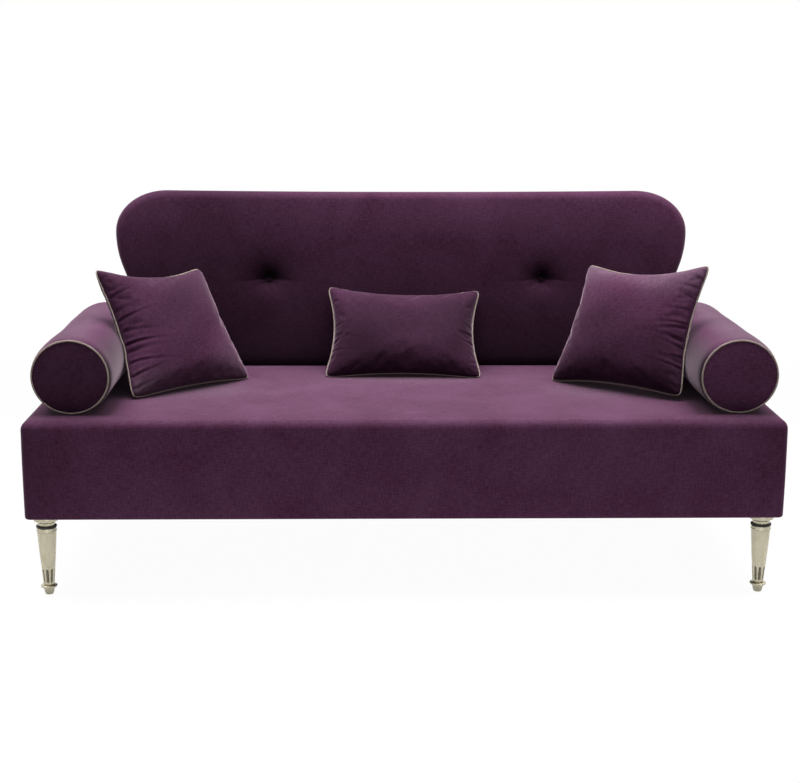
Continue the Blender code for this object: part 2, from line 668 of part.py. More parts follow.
# Plywood board of the back, cut as one ring to the rounded outline
ply_y = band_y + WEBBING + GAP
window_low = BACK_BORDER + PLY_WIDTH
bm = bmesh.new()
loft(bm, [[(x, y, z) for x, z in back_outline(BACK_BORDER)] for y in (ply_y, ply_y + PLY)])
back_board = back_piece("back_board", bm, plywood, smooth=False)
bm = bmesh.new()
inner = back_outline(BACK_BORDER + PLY_WIDTH)
inner[0] = (back_half_width(window_low, BACK_BORDER + PLY_WIDTH), window_low)
inner[-1] = (-inner[0][0], window_low)
loft(bm, [[(x, y, z) for x, z in inner] for y in (ply_y - OVERRUN, ply_y + PLY + OVERRUN)])
cut(back_board, back_piece("back_board_window", bm, None))
cut(back_board, below_back("back_board_foot", BACK_FOOT_Z + BACK_BORDER))

# Three posts carry the back: they lean in it, stand upright in the seat and bolt to the rear rail
post_face = frame_rear - RAIL - GAP - POST_LEVEL_DEPTH
bolt_z = RAIL_TOP - POST_PLATE_HEIGHT / 2 - CLIP_HEIGHT
bolt_levels = (bolt_z - POST_BOLT_SPACING / 2, bolt_z + POST_BOLT_SPACING / 2)
POSTS = {"left": -POST_X, "centre": 0, "right": POST_X}
holes = bmesh.new()
for name, x in POSTS.items():
    shanks = bmesh.new()
    for z in bolt_levels:
        shank, hole = POST_BOLT / 2, POST_BOLT / 2 + GAP
        turned(shanks, [(0, post_face - GAP - POST_PLATE / 2), (shank, post_face - GAP - POST_PLATE / 2),
                        (shank, frame_rear - GAP), (0, frame_rear - GAP)], (x, 0, z), 10, axis="Y")
        turned(holes, [(0, post_face - OVERRUN), (hole, post_face - OVERRUN), (hole, frame_rear + OVERRUN),
                       (0, frame_rear + OVERRUN)], (x, 0, z), 10, axis="Y")
    plate = board(f"back_bolt_plate_{name}",
                  (x - POST_PLATE_WIDTH / 2, post_face - GAP - POST_PLATE, bolt_z - POST_PLATE_HEIGHT / 2),
                  (x + POST_PLATE_WIDTH / 2, post_face - GAP, bolt_z + POST_PLATE_HEIGHT / 2), zinc)
    cut(plate, add(f"back_bolt_shanks_{name}", shanks, None), "UNION")
hole_cutter = add("back_bolt_holes", holes, None)
cut(rear_rail, hole_cutter)
for name, x in POSTS.items():
    bm = bmesh.new()
    side_view = post_profile()
    loft(bm, [[(x + half, y, z) for y, z in side_view] for half in (-POST_WIDTH / 2, POST_WIDTH / 2)])
    cut(add(f"back_post_{name}", bm, beech, smooth=False), hole_cutter)

# Covered buttons, and their twine with the washer that anchors it behind the webbing
washer_y = band_y + WEBBING + GAP
for side, x in (("left", TUFT_LEFT_X), ("right", TUFT_RIGHT_X)):
    bm = bmesh.new()
    seat_y = TUFT_DEPTH - GAP
    turned(bm, [(0, seat_y - BUTTON_DEPTH), (BUTTON * 0.30, seat_y - BUTTON_DEPTH * 0.90),
                (BUTTON * 0.45, seat_y - BUTTON_DEPTH * 0.55), (BUTTON / 2, seat_y - BUTTON_DEPTH / 5),
                (BUTTON * 0.47, seat_y), (0, seat_y)], (x, 0, TUFT_HEIGHT), 14, axis="Y")
    back_piece(f"tuft_button_{side}", bm, velvet)
    bm = bmesh.new()
    turned(bm, [(0, TUFT_DEPTH), (TWINE / 2, TUFT_DEPTH), (TWINE / 2, washer_y), (ANCHOR / 2, washer_y),
                (ANCHOR / 2, washer_y + ANCHOR_DEPTH), (0, washer_y + ANCHOR_DEPTH)],
           (x, 0, TUFT_HEIGHT), 12, axis="Y")
    back_piece(f"tuft_twine_{side}", bm, twine)

# Legs: a flanged plate with its stud, a black collar, a fluted tapering column and a turned foot
LEG_SIDES = 16
plate_top = LEG_HEIGHT - GAP
plate_low = plate_top - PLATE_DEPTH
ring_low = plate_low - GAP - RING_DEPTH
column_top = ring_low - GAP
bead_z = column_top - BEAD_DROP
stud_low = column_top - LEG_STUD_BITE
for name, (x, y) in LEG_PLACES.items():
    spot = (x, y, 0)
    bm = bmesh.new()
    turned(bm, [(0, stud_low + GAP), (LEG_STUD / 2, stud_low + GAP), (LEG_STUD / 2, plate_low),
                (PLATE_NECK / 2, plate_low),
                (PLATE / 2, plate_top - PLATE_RIM), (PLATE / 2, plate_top), (LEG_STUD / 2, plate_top),
                (LEG_STUD / 2, RAIL_Z + BLOCK_HEIGHT), (0, RAIL_Z + BLOCK_HEIGHT)], spot, LEG_SIDES)
    add(f"leg_plate_{name}", bm, silver)
    bm = bmesh.new()
    pipe(bm, spot, RING / 2, bore, ring_low, ring_low + RING_DEPTH, LEG_SIDES)
    add(f"leg_ring_{name}", bm, black)

    bm = bmesh.new()
    turned(bm, [(0, stud_low), (bore, stud_low), (bore, column_top), (LEG_TOP / 2, column_top),
                (LEG_TOP / 2, bead_z + BEAD), (LEG_TOP / 2 + BEAD, bead_z),
                (LEG_TOP / 2 - BEAD / 2, bead_z - BEAD), (LEG_MIDDLE / 2, FLUTE_TOP),
                (LEG_BOTTOM / 2, FLUTE_BOTTOM), (LEG_BOTTOM / 2, COLLAR_HEIGHT + GAP),
                (0, COLLAR_HEIGHT + GAP)], spot, LEG_SIDES)
    column = add(f"leg_column_{name}", bm, silver)
    bm = bmesh.new()
    lean = math.atan2((LEG_MIDDLE - LEG_BOTTOM) / 2, FLUTE_TOP - FLUTE_BOTTOM)
    groove = FLUTE_WIDTH / 2
    groove_x = (LEG_MIDDLE + LEG_BOTTOM) / 4 + groove - FLUTE_DEPTH
    half_run = (FLUTE_TOP - FLUTE_BOTTOM) / 2 - groove
    for i in range(FLUTES):
        before = len(bm.verts)
        turned(bm, [(0, -half_run - groove), (groove, -half_run), (groove, half_run), (0, half_run + groove)],
               (0, 0, 0), 8)
        bm.verts.ensure_lookup_table()
        turn = (Matrix.Translation(spot) @ Matrix.Rotation(math.tau * (i + 0.5) / FLUTES, 4, "Z")
                @ Matrix.Translation((groove_x, 0, (FLUTE_TOP + FLUTE_BOTTOM) / 2))
                @ Matrix.Rotation(lean, 4, "Y"))
        bmesh.ops.transform(bm, matrix=turn, verts=bm.verts[before:])
    cut(column, add(f"leg_flutes_{name}", bm, None))

    bm = bmesh.new()
    turned(bm, [(0, COLLAR_HEIGHT), (COLLAR * 0.44, COLLAR_HEIGHT), (COLLAR / 2, COLLAR_HEIGHT - BEAD),
                (COLLAR / 2, COLLAR_HEIGHT - 2 * BEAD), (COLLAR * 0.42, COLLAR_HEIGHT - 3 * BEAD),
                (FOOT / 2, GLIDE_DEPTH), (GLIDE / 2, 0), (0, 0)], spot, LEG_SIDES)
    add(f"leg_foot_{name}", bm, silver)


BOLSTER_SIDES = 20


def bolster_form(bm, inset):
    """A bolster along Y about its own middle: bulging body, drawn-in seams, crowned discs, flat foot."""
    half = BOLSTER_LENGTH / 2
    seam = BOLSTER_HEIGHT / 2 - BOLSTER_SEAM_DROP - inset
    full = BOLSTER_HEIGHT / 2 - inset
    notch = PIPING * 0.75
    end = half - inset
    profile = [(0, -end), (seam * 0.55, -end + BOLSTER_DISC_CROWN * 0.30),
               (seam * 0.92, -end + BOLSTER_DISC_CROWN), (seam - notch, -end + BOLSTER_DISC_CROWN + notch),
               (seam, -end + BOLSTER_DISC_CROWN + PIPING + notch),
               (full - BOLSTER_SEAM_DROP * 0.2, -end + BOLSTER_SHOULDER)]
    profile += [(full, 0)] + [(r, -y) for r, y in reversed(profile)]
    turned(bm, profile, (0, 0, 0), BOLSTER_SIDES, axis="Y")
    wide = (BOLSTER_WIDTH / 2 - inset) / full
    floor = BOLSTER_FLAT + inset - BOLSTER_HEIGHT / 2
    for vert in bm.verts:
        vert.co.x *= wide
        vert.co.z = max(vert.co.z, floor)


def empty(name, place):
    """A joint's reference point, which is no piece of the sofa."""
    made = bpy.data.objects.new(name, None)
    made.location = place
    bpy.context.scene.collection.objects.link(made)
    bpy.context.view_layer.update()
    return made


# Bolsters: a zipped velvet case, its fibre core and the piping at both ends
bolster_z = SEAT_HEIGHT + GAP + BOLSTER_HEIGHT / 2 - BOLSTER_FLAT
for side, x in (("left", BOLSTER_LEFT_X), ("right", BOLSTER_RIGHT_X)):
    hub = empty(f"bolster_{side}_joint", (x, FRONT_Y + BOLSTER_FRONT_INSET + BOLSTER_LENGTH / 2, bolster_z))
    bm = bmesh.new()
    bolster_form(bm, 0)
    case = add(f"bolster_{side}_cover", bm, velvet, parent=hub)
    bm = bmesh.new()
    bolster_form(bm, VELVET)
    cut(case, add(f"bolster_{side}_inside", bm, None, parent=hub))
    bm = bmesh.new()
    foot = -BOLSTER_HEIGHT / 2
    brick(bm, (-BOLSTER_ZIP_WIDTH / 2, -BOLSTER_ZIP / 2, foot - OVERRUN),
          (BOLSTER_ZIP_WIDTH / 2, BOLSTER_ZIP / 2, foot + OVERRUN))
    cut(case, add(f"bolster_{side}_zip", bm, None, parent=hub))
    bm = bmesh.new()
    bolster_form(bm, VELVET + FILLING_EASE)
    add(f"bolster_{side}_core", bm, wadding, parent=hub)
    level = BOLSTER_LENGTH / 2 - BOLSTER_DISC_CROWN - PIPING * 0.85
    ring_x = BOLSTER_WIDTH / 2 - BOLSTER_SEAM_DROP - PIPING * 0.08
    ring_z = BOLSTER_HEIGHT / 2 - BOLSTER_SEAM_DROP - PIPING * 0.08
    floor = BOLSTER_FLAT - BOLSTER_HEIGHT / 2 + PIPING / 2
    for end, sign in (("front", -1), ("rear", 1)):
        bm = bmesh.new()
        angles = [math.tau * i / BOLSTER_SIDES for i in range(BOLSTER_SIDES)]
        loop = [(ring_x * math.cos(a), sign * level, max(ring_z * math.sin(a), floor)) for a in angles]
        tube(bm, loop, PIPING / 2, 4, closed=True, up=(0, 1, 0))
        add(f"bolster_{side}_piping_{end}", bm, cord_cloth, parent=hub)


PINCH_SHARE = 0.10


def cushion_form(bm, width, height, depth, twist, inset=0.0, steps=9):
    """A knife-edge cushion: its sides draw in between the corners and its faces crown."""
    half_w = width / 2 - inset * SEAM_ALLOWANCE / VELVET
    half_h = height / 2 - inset * SEAM_ALLOWANCE / VELVET
    half_d = depth / 2 - inset
    spread = np.sin(np.linspace(-1, 1, steps + 1) * math.pi / 2)

    def place(u, v, face):
        x = half_w * u * (1 - PINCH_SHARE * (1 - v * v) * abs(u) ** 1.5)
        z = half_h * v * (1 - PINCH_SHARE * (1 - u * u) * abs(v) ** 1.5)
        fill = max((1 - u * u) * (1 - v * v), 0.0) ** 0.42
        return x, face * half_d * fill - twist * u * v, z

    sheets = {}
    for face in (-1, 1):
        for i, u in enumerate(spread):
            for j, v in enumerate(spread):
                rim = i in (0, steps) or j in (0, steps)
                if rim and face == 1:
                    sheets[face, i, j] = sheets[-1, i, j]
                else:
                    sheets[face, i, j] = bm.verts.new(place(u, v, face))
    for face in (-1, 1):
        for i in range(steps):
            for j in range(steps):
                ring = [(0, 0), (1, 0), (1, 1), (0, 1)]
                if (2 * i + 1 < steps) != (2 * j + 1 < steps):
                    ring = ring[1:] + ring[:1]
                corners = [sheets[face, i + a, j + b] for a, b in ring]
                for three in (corners[:3], corners[2:] + corners[:1]):
                    bm.faces.new(three[::-face])


def cushion_seam(width, height, twist, outset, steps=9):
    """The seam line round a cushion, moved out by outset."""
    half_w, half_h = width / 2 + outset, height / 2 + outset
    run = np.sin(np.linspace(-1, 1, steps + 1) * math.pi / 2)[:-1]
    sides = [(run, -np.ones(steps)), (np.ones(steps), run), (-run, np.ones(steps)), (-np.ones(steps), -run)]
    loop = []
    for us, vs in sides:
        for u, v in zip(us, vs):
            x = half_w * u * (1 - PINCH_SHARE * (1 - v * v) * abs(u) ** 1.5)
            z = half_h * v * (1 - PINCH_SHARE * (1 - u * u) * abs(v) ** 1.5)
            loop.append((x, -twist * u * v, z))
    return loop


CUSHIONS = {
    "left": (LEFT_CUSHION_WIDTH, SIDE_CUSHION_HEIGHT, SIDE_CUSHION_DEPTH, LEFT_CUSHION_TWIST,
             LEFT_CUSHION_X, LEFT_CUSHION_Y, LEFT_CUSHION_TURN, LEFT_CUSHION_LEAN, LEFT_CUSHION_ROLL),
    "right": (RIGHT_CUSHION_WIDTH, SIDE_CUSHION_HEIGHT, SIDE_CUSHION_DEPTH, RIGHT_CUSHION_TWIST,
              RIGHT_CUSHION_X, RIGHT_CUSHION_Y, RIGHT_CUSHION_TURN, RIGHT_CUSHION_LEAN, RIGHT_CUSHION_ROLL),
    "lumbar": (LUMBAR_WIDTH, LUMBAR_HEIGHT, LUMBAR_DEPTH, LUMBAR_TWIST,
               LUMBAR_X, LUMBAR_Y, LUMBAR_TURN, LUMBAR_LEAN, LUMBAR_ROLL),
}

# Cushions: a zipped velvet case, its filling and the piping in its seam
for side, (width, height, depth, twist, x, y, turn, lean, roll) in CUSHIONS.items():
    pose = Matrix.Rotation(turn, 4, "Z") @ Matrix.Rotation(lean, 4, "X") @ Matrix.Rotation(roll, 4, "Y")
    cord = bmesh.new()
    tube(cord, cushion_seam(width, height, twist, PIPING / 2 + CUSHION_PIPING_EASE), PIPING / 2, 4, closed=True,
         up=(0, 1, 0))
    lowest = min((pose @ vert.co).z for vert in cord.verts)
    hub = empty(f"cushion_{side}_joint", (x, FRONT_Y + y, SEAT_HEIGHT + GAP - lowest))
    hub.rotation_euler = pose.to_euler()
    bpy.context.view_layer.update()
    bm = bmesh.new()
    cushion_form(bm, width, height, depth, twist)
    case = add(f"cushion_{side}_cover", bm, velvet, parent=hub)
    bm = bmesh.new()
    cushion_form(bm, width, height, depth, twist, VELVET)
    cut(case, add(f"cushion_{side}_inside", bm, None, parent=hub))
    bm = bmesh.new()
    zip_half = width / 4
    zip_low = -height / 2
    brick(bm, (-zip_half, -CUSHION_ZIP_WIDTH / 2, zip_low - OVERRUN),
          (zip_half, CUSHION_ZIP_WIDTH / 2, zip_low + height * PINCH_SHARE / 2 + 2 * SEAM_ALLOWANCE))
    cut(case, add(f"cushion_{side}_zip", bm, None, parent=hub))
    bm = bmesh.new()
    cushion_form(bm, width, height, depth, twist, VELVET + FILLING_EASE)
    add(f"cushion_{side}_filling", bm, wadding, parent=hub)
    add(f"cushion_{side}_piping", cord, cord_cloth, parent=hub)
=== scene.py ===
import math

import bmesh
import bpy
import mathutils
import numpy as np
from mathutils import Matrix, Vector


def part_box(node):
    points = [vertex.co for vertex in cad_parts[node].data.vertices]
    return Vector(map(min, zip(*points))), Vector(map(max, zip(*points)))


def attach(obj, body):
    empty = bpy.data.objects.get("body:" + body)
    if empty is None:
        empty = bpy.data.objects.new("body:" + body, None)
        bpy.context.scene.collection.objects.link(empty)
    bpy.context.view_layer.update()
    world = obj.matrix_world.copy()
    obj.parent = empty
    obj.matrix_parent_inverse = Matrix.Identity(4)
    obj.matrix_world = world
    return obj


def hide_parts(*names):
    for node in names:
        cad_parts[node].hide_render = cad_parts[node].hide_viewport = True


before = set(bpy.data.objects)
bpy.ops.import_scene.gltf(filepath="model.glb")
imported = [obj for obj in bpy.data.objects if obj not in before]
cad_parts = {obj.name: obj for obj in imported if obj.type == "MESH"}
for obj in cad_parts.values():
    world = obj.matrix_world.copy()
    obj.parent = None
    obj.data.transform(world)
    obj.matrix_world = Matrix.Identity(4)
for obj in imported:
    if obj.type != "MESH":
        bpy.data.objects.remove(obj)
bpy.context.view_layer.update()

# ----------------------------------------------------------
# Hardwood frame. Planed beech rails, cross rails and glued corner blocks make the seat box, and three beech
# posts stand in it and lean back. They are glued and screwed, and the covers hide them.


def linear(text):
    """An sRGB hex colour as the linear colour that a shader's socket takes."""
    share = np.array([int(text[i:i + 2], 16) for i in (1, 3, 5)]) / 255
    light = np.where(share <= 0.04045, share / 12.92, ((share + 0.055) / 1.055) ** 2.4)
    return (*light.tolist(), 1.0)


def put(tree, kind, sockets=None, **settings):
    """Adds one shader node, with its settings, and gives each listed socket a value or a link."""
    made = tree.nodes.new("ShaderNode" + kind)
    for name, value in settings.items():
        setattr(made, name, value)
    for name, value in (sockets or {}).items():
        if isinstance(value, bpy.types.NodeSocket):
            tree.links.new(value, made.inputs[name])
        else:
            made.inputs[name].default_value = value
    return made


def reckon(tree, operation, *values):
    """The result of a node that reckons with these values."""
    return put(tree, "Math", dict(enumerate(values)), operation=operation).outputs[0]


def blend(tree, share, first, second):
    """The colour that lies between two by a share."""
    return put(tree, "Mix", {0: share, 6: first, 7: second}, data_type="RGBA").outputs[2]


def noise_on(tree, place, stretch, detail=2.0, turn=(0, 0, 0), **settings):
    """Noise over a place that is turned and stretched first."""
    laid = put(tree, "Mapping", {"Vector": place, "Rotation": turn, "Scale": stretch}).outputs["Vector"]
    return put(tree, "TexNoise", {"Vector": laid, "Scale": 1.0, "Detail": detail}, **settings).outputs["Fac"]


def raise_by(tree, shader, height, metres, strength):
    """Lets the surface rise and fall with a height, by so many metres."""
    bump = put(tree, "Bump", {"Height": height, "Distance": metres, "Strength": strength})
    tree.links.new(bump.outputs["Normal"], shader.inputs["Normal"])


def begin(name, constants):
    """A new material whose shader has these constants."""
    made = bpy.data.materials.new(name)
    made.use_nodes = True
    shader = made.node_tree.nodes["Principled BSDF"]
    for socket, value in constants.items():
        shader.inputs[socket].default_value = value
    return made, made.node_tree, shader


def streaked(name, dark, light, lengths, roughness, bump, metallic=0.0):
    """A material whose colour goes from dark to light by a noise of these lengths, in metres, along the axes, and
    whose surface rises and falls by bump metres with it."""
    made, tree, shader = begin(name, {"Roughness": roughness, "Metallic": metallic})
    place = put(tree, "TexCoord").outputs["Object"]
    noise = noise_on(tree, place, [1 / length for length in lengths], 4.0)
    ramp = put(tree, "ValToRGB", {"Fac": noise})
    for stop, position, colour in zip(ramp.color_ramp.elements, (0.32, 0.68), (dark, light)):
        stop.position, stop.color = position, linear(colour)
    tree.links.new(ramp.outputs["Color"], shader.inputs["Base Color"])
    raise_by(tree, shader, noise, bump, 0.6)
    return made


def dress(finish, *names):
    """Gives CAD nodes that stay a finish through their material slots."""
    for name in names:
        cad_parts[name].material_slots[0].material = finish


# Beech, planed: pale tan with fine short flecks along the grain, about 1.5 mm across and 60 mm long
BEECH = (("frame_front_rail", "frame_rear_rail"),
         ("frame_end_rail_left", "frame_end_rail_right", "frame_cross_rail_left", "frame_cross_rail_right"),
         ("back_post_left", "back_post_centre", "back_post_right"))
for axis, names in enumerate(BEECH):
    lengths = np.roll((0.06, 0.0015, 0.0015), axis)
    dress(streaked("beech_board_along_" + "xyz"[axis], "#B48C5E", "#CDA87A", lengths, 0.55, 0.0002), *names)

# Zinc-plated steel, stamped: grey with a faint spangle of about 4 mm
dress(streaked("zinc_plated_steel", "#B4B4B0", "#C9C9C6", (0.004, 0.004, 0.004), 0.38, 0.00005, 1.0),
      "back_bolt_plate_left", "back_bolt_plate_centre", "back_bolt_plate_right")

# Birch plywood, sanded: pale cream with long soft figure along the sheet, about 3 mm across
dress(streaked("birch_plywood", "#C3A67C", "#D9BF96", (0.09, 0.2, 0.003), 0.6, 0.0002), "back_board")

# ----------------------------------------------------------
# Springs and padding. Zigzag steel springs run from front to rear under hessian, a slab of foam lies on them, and
# fibre wadding softens the rails. Elastic webbing and foam pad the back. Nothing of this shows.

# Drawn spring wire: dark bluish grey, drawn lengthways
dress(streaked("spring_steel", "#8E9094", "#A7A9AC", (0.0008, 0.02, 0.0008), 0.35, 0.00004, 1.0), "seat_springs")
# Hessian: coarse jute threads about 2 mm apart, drawn as short crossing streaks
dress(streaked("hessian", "#8F7450", "#B39468", (0.002, 0.012, 0.002), 0.95, 0.0006), "deck_cloth")
low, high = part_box("deck_cloth")
# Cut foam: pale straw with open cells of about 1 mm
dress(streaked("upholstery_foam", "#D9CB9E", "#EADDB4", (0.001, 0.001, 0.001), 0.9, 0.0004),
      "seat_foam", "back_foam")
# Polyester wadding: white fibre in soft tufts of about 8 mm
wadding = streaked("polyester_wadding", "#D8D8D4", "#ECECE8", (0.008, 0.008, 0.008), 1.0, 0.0015)
dress(wadding, "border_wadding")
# Elastic webbing: dark brown with ribs about 2 mm apart along each band
dress(streaked("rubber_webbing", "#33291F", "#4C3E30", (0.2, 0.002, 0.002), 0.8, 0.0003), "back_webbing")
# Waxed twine: straw with a 1.2 mm twist
dress(streaked("waxed_twine", "#A98E62", "#C4A97B", (0.0012, 0.003, 0.0012), 0.6, 0.0002),
      "tuft_twine_left", "tuft_twine_right")

# ----------------------------------------------------------
# Seat cover. One boxed case of plum velvet is pulled over the foam and the rails, turned under at the foot and
# stapled there. Its top edges are softly round where the foam fills them, and the faces are drawn flat.

SEAT_HEIGHT = 0.450
REST = 0.0003
seat_low, seat_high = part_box("seat_cover")
SEAT_HALF_WIDTH = (seat_high.x - seat_low.x) / 2
SEAT_HALF_DEPTH = (seat_high.y - seat_low.y) / 2
SEAT_MIDDLE_Y = (seat_high.y + seat_low.y) / 2
SEAT_EDGE = 0.024
SEAT_CORNER = 0.016
SEAT_CROWN = 0.003
SEAT_CROWN_RUN = 0.070
SEAT_FOOT_ROUND = 0.006
SEAT_TUCK = 0.0002
SEAT_TUCK_FROM = 0.330
SEAT_BULGE = 0.0008
SEAT_HEM = 0.030


def velvet_finish():
    """Cotton velvet, woven and cut to a short pile: dark plum, and pale mauve where the pile is seen from the side,
    with crossing lines of thicker yarn, really 1 mm apart and drawn 3 mm apart, and broad clouds where it was
    stroked. A piece's painted shade attribute darkens the cloth by its share, as painted shade, and where it is
    below zero it is painted light, paler and greyer."""
    made, tree, shader = begin("plum_velvet", {
        "Roughness": 0.85, "Specular IOR Level": 0.04, "Sheen Weight": 0.42, "Sheen Roughness": 0.30,
        "Sheen Tint": linear("#F2D4E6")})
    cloth = put(tree, "UVMap", uv_map="cloth").outputs["UV"]
    place = put(tree, "TexCoord").outputs["Object"]
    yarn, long = 0.0032, 0.017
    weave = reckon(tree, "ADD", *(noise_on(tree, cloth, stretch, noise_dimensions="2D") for stretch in (
        (1 / yarn, 1 / long, 1), (1 / long, 1 / yarn, 1))))
    cloud = put(tree, "TexNoise", {"Vector": place, "Scale": 7.0, "Detail": 3.0, "Distortion": 0.6}).outputs["Fac"]
    share = reckon(tree, "MULTIPLY_ADD", weave, 0.65, -0.52)
    share = reckon(tree, "MULTIPLY_ADD", cloud, 0.75, share)
    tone = blend(tree, share, linear("#301024"), linear("#4F3149"))
    # The attribute read here is painted shade, and below zero painted light: it scales and greys the base colour
    painted_shade = put(tree, "Attribute", attribute_name="painted_shade").outputs["Fac"]
    unshaded = reckon(tree, "SUBTRACT", 1.0, painted_shade)
    shown = put(tree, "VectorMath", {0: tone, "Scale": unshaded}, operation="SCALE")
    painted_light = reckon(tree, "MINIMUM", painted_shade, 0.0)
    strong = reckon(tree, "ADD", painted_light, 1.0)
    shown = put(tree, "HueSaturation", {"Color": shown.outputs["Vector"], "Saturation": strong})
    tree.links.new(shown.outputs["Color"], shader.inputs["Base Color"])
    raise_by(tree, shader, weave, 0.0012, 0.16)
    return made


velvet = velvet_finish()
scene = bpy.context.scene


def link(name, data):
    """Adds an object with this data to the scene."""
    made = bpy.data.objects.new(name, data)
    scene.collection.objects.link(made)
    return made


def stacked(*parts):
    """Widens coordinates to one grid and stacks them, one row of them for each point of the grid."""
    return np.stack(np.broadcast_arrays(*parts), -1)


def read(items, name, size=3):
    """One property of all items, one row each."""
    values = np.zeros(len(items) * size)
    items.foreach_get(name, values)
    return values.reshape(-1, size)


def sew(name, panels, finish):
    """Joins panels into one mesh. A panel is a grid of points, and the same grid laid flat, in metres, as its UV
    map. Quads join neighbours, points that meet are merged, and the faces point outwards."""
    start, places, flats, faces = 0, [], [], []
    for points, flat in panels:
        rows, columns = points.shape[:2]
        number = start + np.arange(rows * columns).reshape(rows, columns)
        faces.append(np.stack([number[:-1, :-1], number[:-1, 1:], number[1:, 1:], number[1:, :-1]],
                              -1).reshape(-1, 4))
        places.append(points.reshape(-1, 3))
        flats.append(flat.reshape(-1, 2))
        start += rows * columns
    places, flats, faces = (np.concatenate(parts) for parts in (places, flats, faces))
    mesh = bpy.data.meshes.new(name)
    mesh.from_pydata(places.tolist(), [], faces.tolist())
    mesh.uv_layers.new(name="cloth").data.foreach_set(
        "uv", np.ascontiguousarray(flats[faces.reshape(-1)], np.float32).reshape(-1))
    bm = bmesh.new()
    bm.from_mesh(mesh)
    bmesh.ops.remove_doubles(bm, verts=bm.verts, dist=2e-5)
    bmesh.ops.recalc_face_normals(bm, faces=bm.faces)
    bm.to_mesh(mesh)
    bm.free()
    centre, normal, area = (read(mesh.polygons, *what) for what in (("center",), ("normal",), ("area", 1)))
    if ((centre - centre.mean(0)) * normal * area).sum() < 0:
        mesh.flip_normals()
    mesh.shade_smooth()
    mesh.materials.append(finish)
    return link(name, mesh)


def places_of(piece):
    """The points of a piece, one row each."""
    return read(piece.data.vertices, "co")


def move_to(piece, places):
    """Puts the points of a piece at these places."""
    piece.data.vertices.foreach_set("co", places.reshape(-1))
    piece.data.update()


def keep(piece, name, shares):
    """Keeps one number for each point of a piece, as an attribute that its material reads."""
    piece.data.attributes.new(name, "FLOAT", "POINT").data.foreach_set("value", shares.astype(np.float32))


def paint_shade(piece, share):
    """Keeps the painted shade at each point: 1 darkens the cloth fully, 0 leaves its own colour, and less than zero
    is painted light.
    """
    keep(piece, "painted_shade", np.clip(share, -0.35, 0.95))


def stand_in(piece, body, node):
    """Lets a piece ride on a body, in place of a CAD node, which it hides."""
    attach(piece, body)
    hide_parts(node)


def run_along(across, up):
    """How far each point of a line lies along it, as the sum of the steps before it."""
    return np.r_[0, np.cumsum(np.hypot(np.diff(across), np.diff(up)))]


def box_round(along, across, turns):
    """A rectangle with rounded corners, walked once round from its front left: points of the inner rectangle, as
    shares of it, and the outward direction there."""
    run, rise = np.linspace(-1, 1, along), np.linspace(-1, 1, across)
    corner = np.linspace(0, math.pi / 2, turns + 2)[1:-1]
    parts = []
    for x, y, start in ((run, -1, -0.5), (1, rise, 0.0), (run[::-1], 1, 0.5), (-1, rise[::-1], 1.0)):
        x, y = np.broadcast_arrays(x, y)
        angle = np.full(len(x), start * math.pi)
        parts.append((x, y, angle))
        parts.append((np.full(turns, x[-1]), np.full(turns, y[-1]), start * math.pi + corner))
    x, y, angle = (np.concatenate(column) for column in zip(*parts))
    x, y, angle = (np.append(line, line[0]) for line in (x, y, angle))
    return x, y, np.cos(angle), np.sin(angle)


def waves(x, y, z):
    """Cloth that isn't drawn quite tight: three crossing sines a few hundred millimetres long, from -1 to 1."""
    return (np.sin(11 * x + 5 * z + 1.3) + np.sin(23 * y - 7 * x + 0.4) + np.sin(17 * z + 9 * y + 3 * x)) / 3


def seat_panels():
    """The top as a grid that falls by a parabola near its edge, and one band from its border over the round edge,
    down the side and under the foot. The side swells by half a sine, with long shallow waves, and is drawn in at
    its foot."""
    along, across, turns = 93, 41, 6
    base_x, base_y, out_x, out_y = box_round(along, across, turns)
    quarter = np.linspace(0, math.pi / 2, 9)
    rim = SEAT_HEIGHT - SEAT_CROWN - SEAT_EDGE
    foot = seat_low.z
    side_z = np.linspace(rim, foot + SEAT_FOOT_ROUND, 16)[1:]
    fall = np.clip((SEAT_TUCK_FROM - side_z) / (SEAT_TUCK_FROM - foot), 0, 1)
    tuck = SEAT_TUCK * fall ** 2
    under = np.linspace(0, math.pi / 2, 5)[1:]
    inset = np.r_[SEAT_EDGE * (1 - np.sin(quarter)), tuck,
                  tuck[-1] + SEAT_FOOT_ROUND * (1 - np.cos(under)),
                  [tuck[-1] + SEAT_FOOT_ROUND + SEAT_HEM]]
    height = np.r_[rim + SEAT_EDGE * np.cos(quarter), side_z,
                   foot + SEAT_FOOT_ROUND * (1 - np.sin(under)), [foot + 0.0004]]
    walked = run_along(inset, height)
    swell = SEAT_BULGE * np.sin(math.pi * np.clip((height - foot) / (rim - foot), 0, 1)) * (inset < SEAT_CORNER)
    core = np.maximum(SEAT_CORNER, inset)
    half_x, half_y = SEAT_HALF_WIDTH - core, SEAT_HALF_DEPTH - core
    x = half_x[:, None] * base_x + (core - inset)[:, None] * out_x
    y = half_y[:, None] * base_y + (core - inset)[:, None] * out_y + SEAT_MIDDLE_Y
    z = height[:, None]
    proud = swell[:, None] * (1 + 0.35 * waves(x, y, z))
    band = stacked(x + proud * out_x, y + proud * out_y, z)
    flat = stacked(half_x[0] * base_x + walked[:, None] * out_x,
                   half_y[0] * base_y + walked[:, None] * out_y + SEAT_MIDDLE_Y)
    top_x, top_y = np.meshgrid(np.linspace(-1, 1, along) * half_x[0], np.linspace(-1, 1, across) * half_y[0])
    away = np.minimum(SEAT_HALF_WIDTH - abs(top_x), SEAT_HALF_DEPTH - abs(top_y))
    top_y = top_y + SEAT_MIDDLE_Y
    drop = SEAT_CROWN * (1 - np.clip((away - SEAT_EDGE) / (SEAT_CROWN_RUN - SEAT_EDGE), 0, 1)) ** 2
    top = stacked(top_x, top_y, SEAT_HEIGHT - drop)
    return [(top, stacked(top_x, top_y)), (band, flat)]


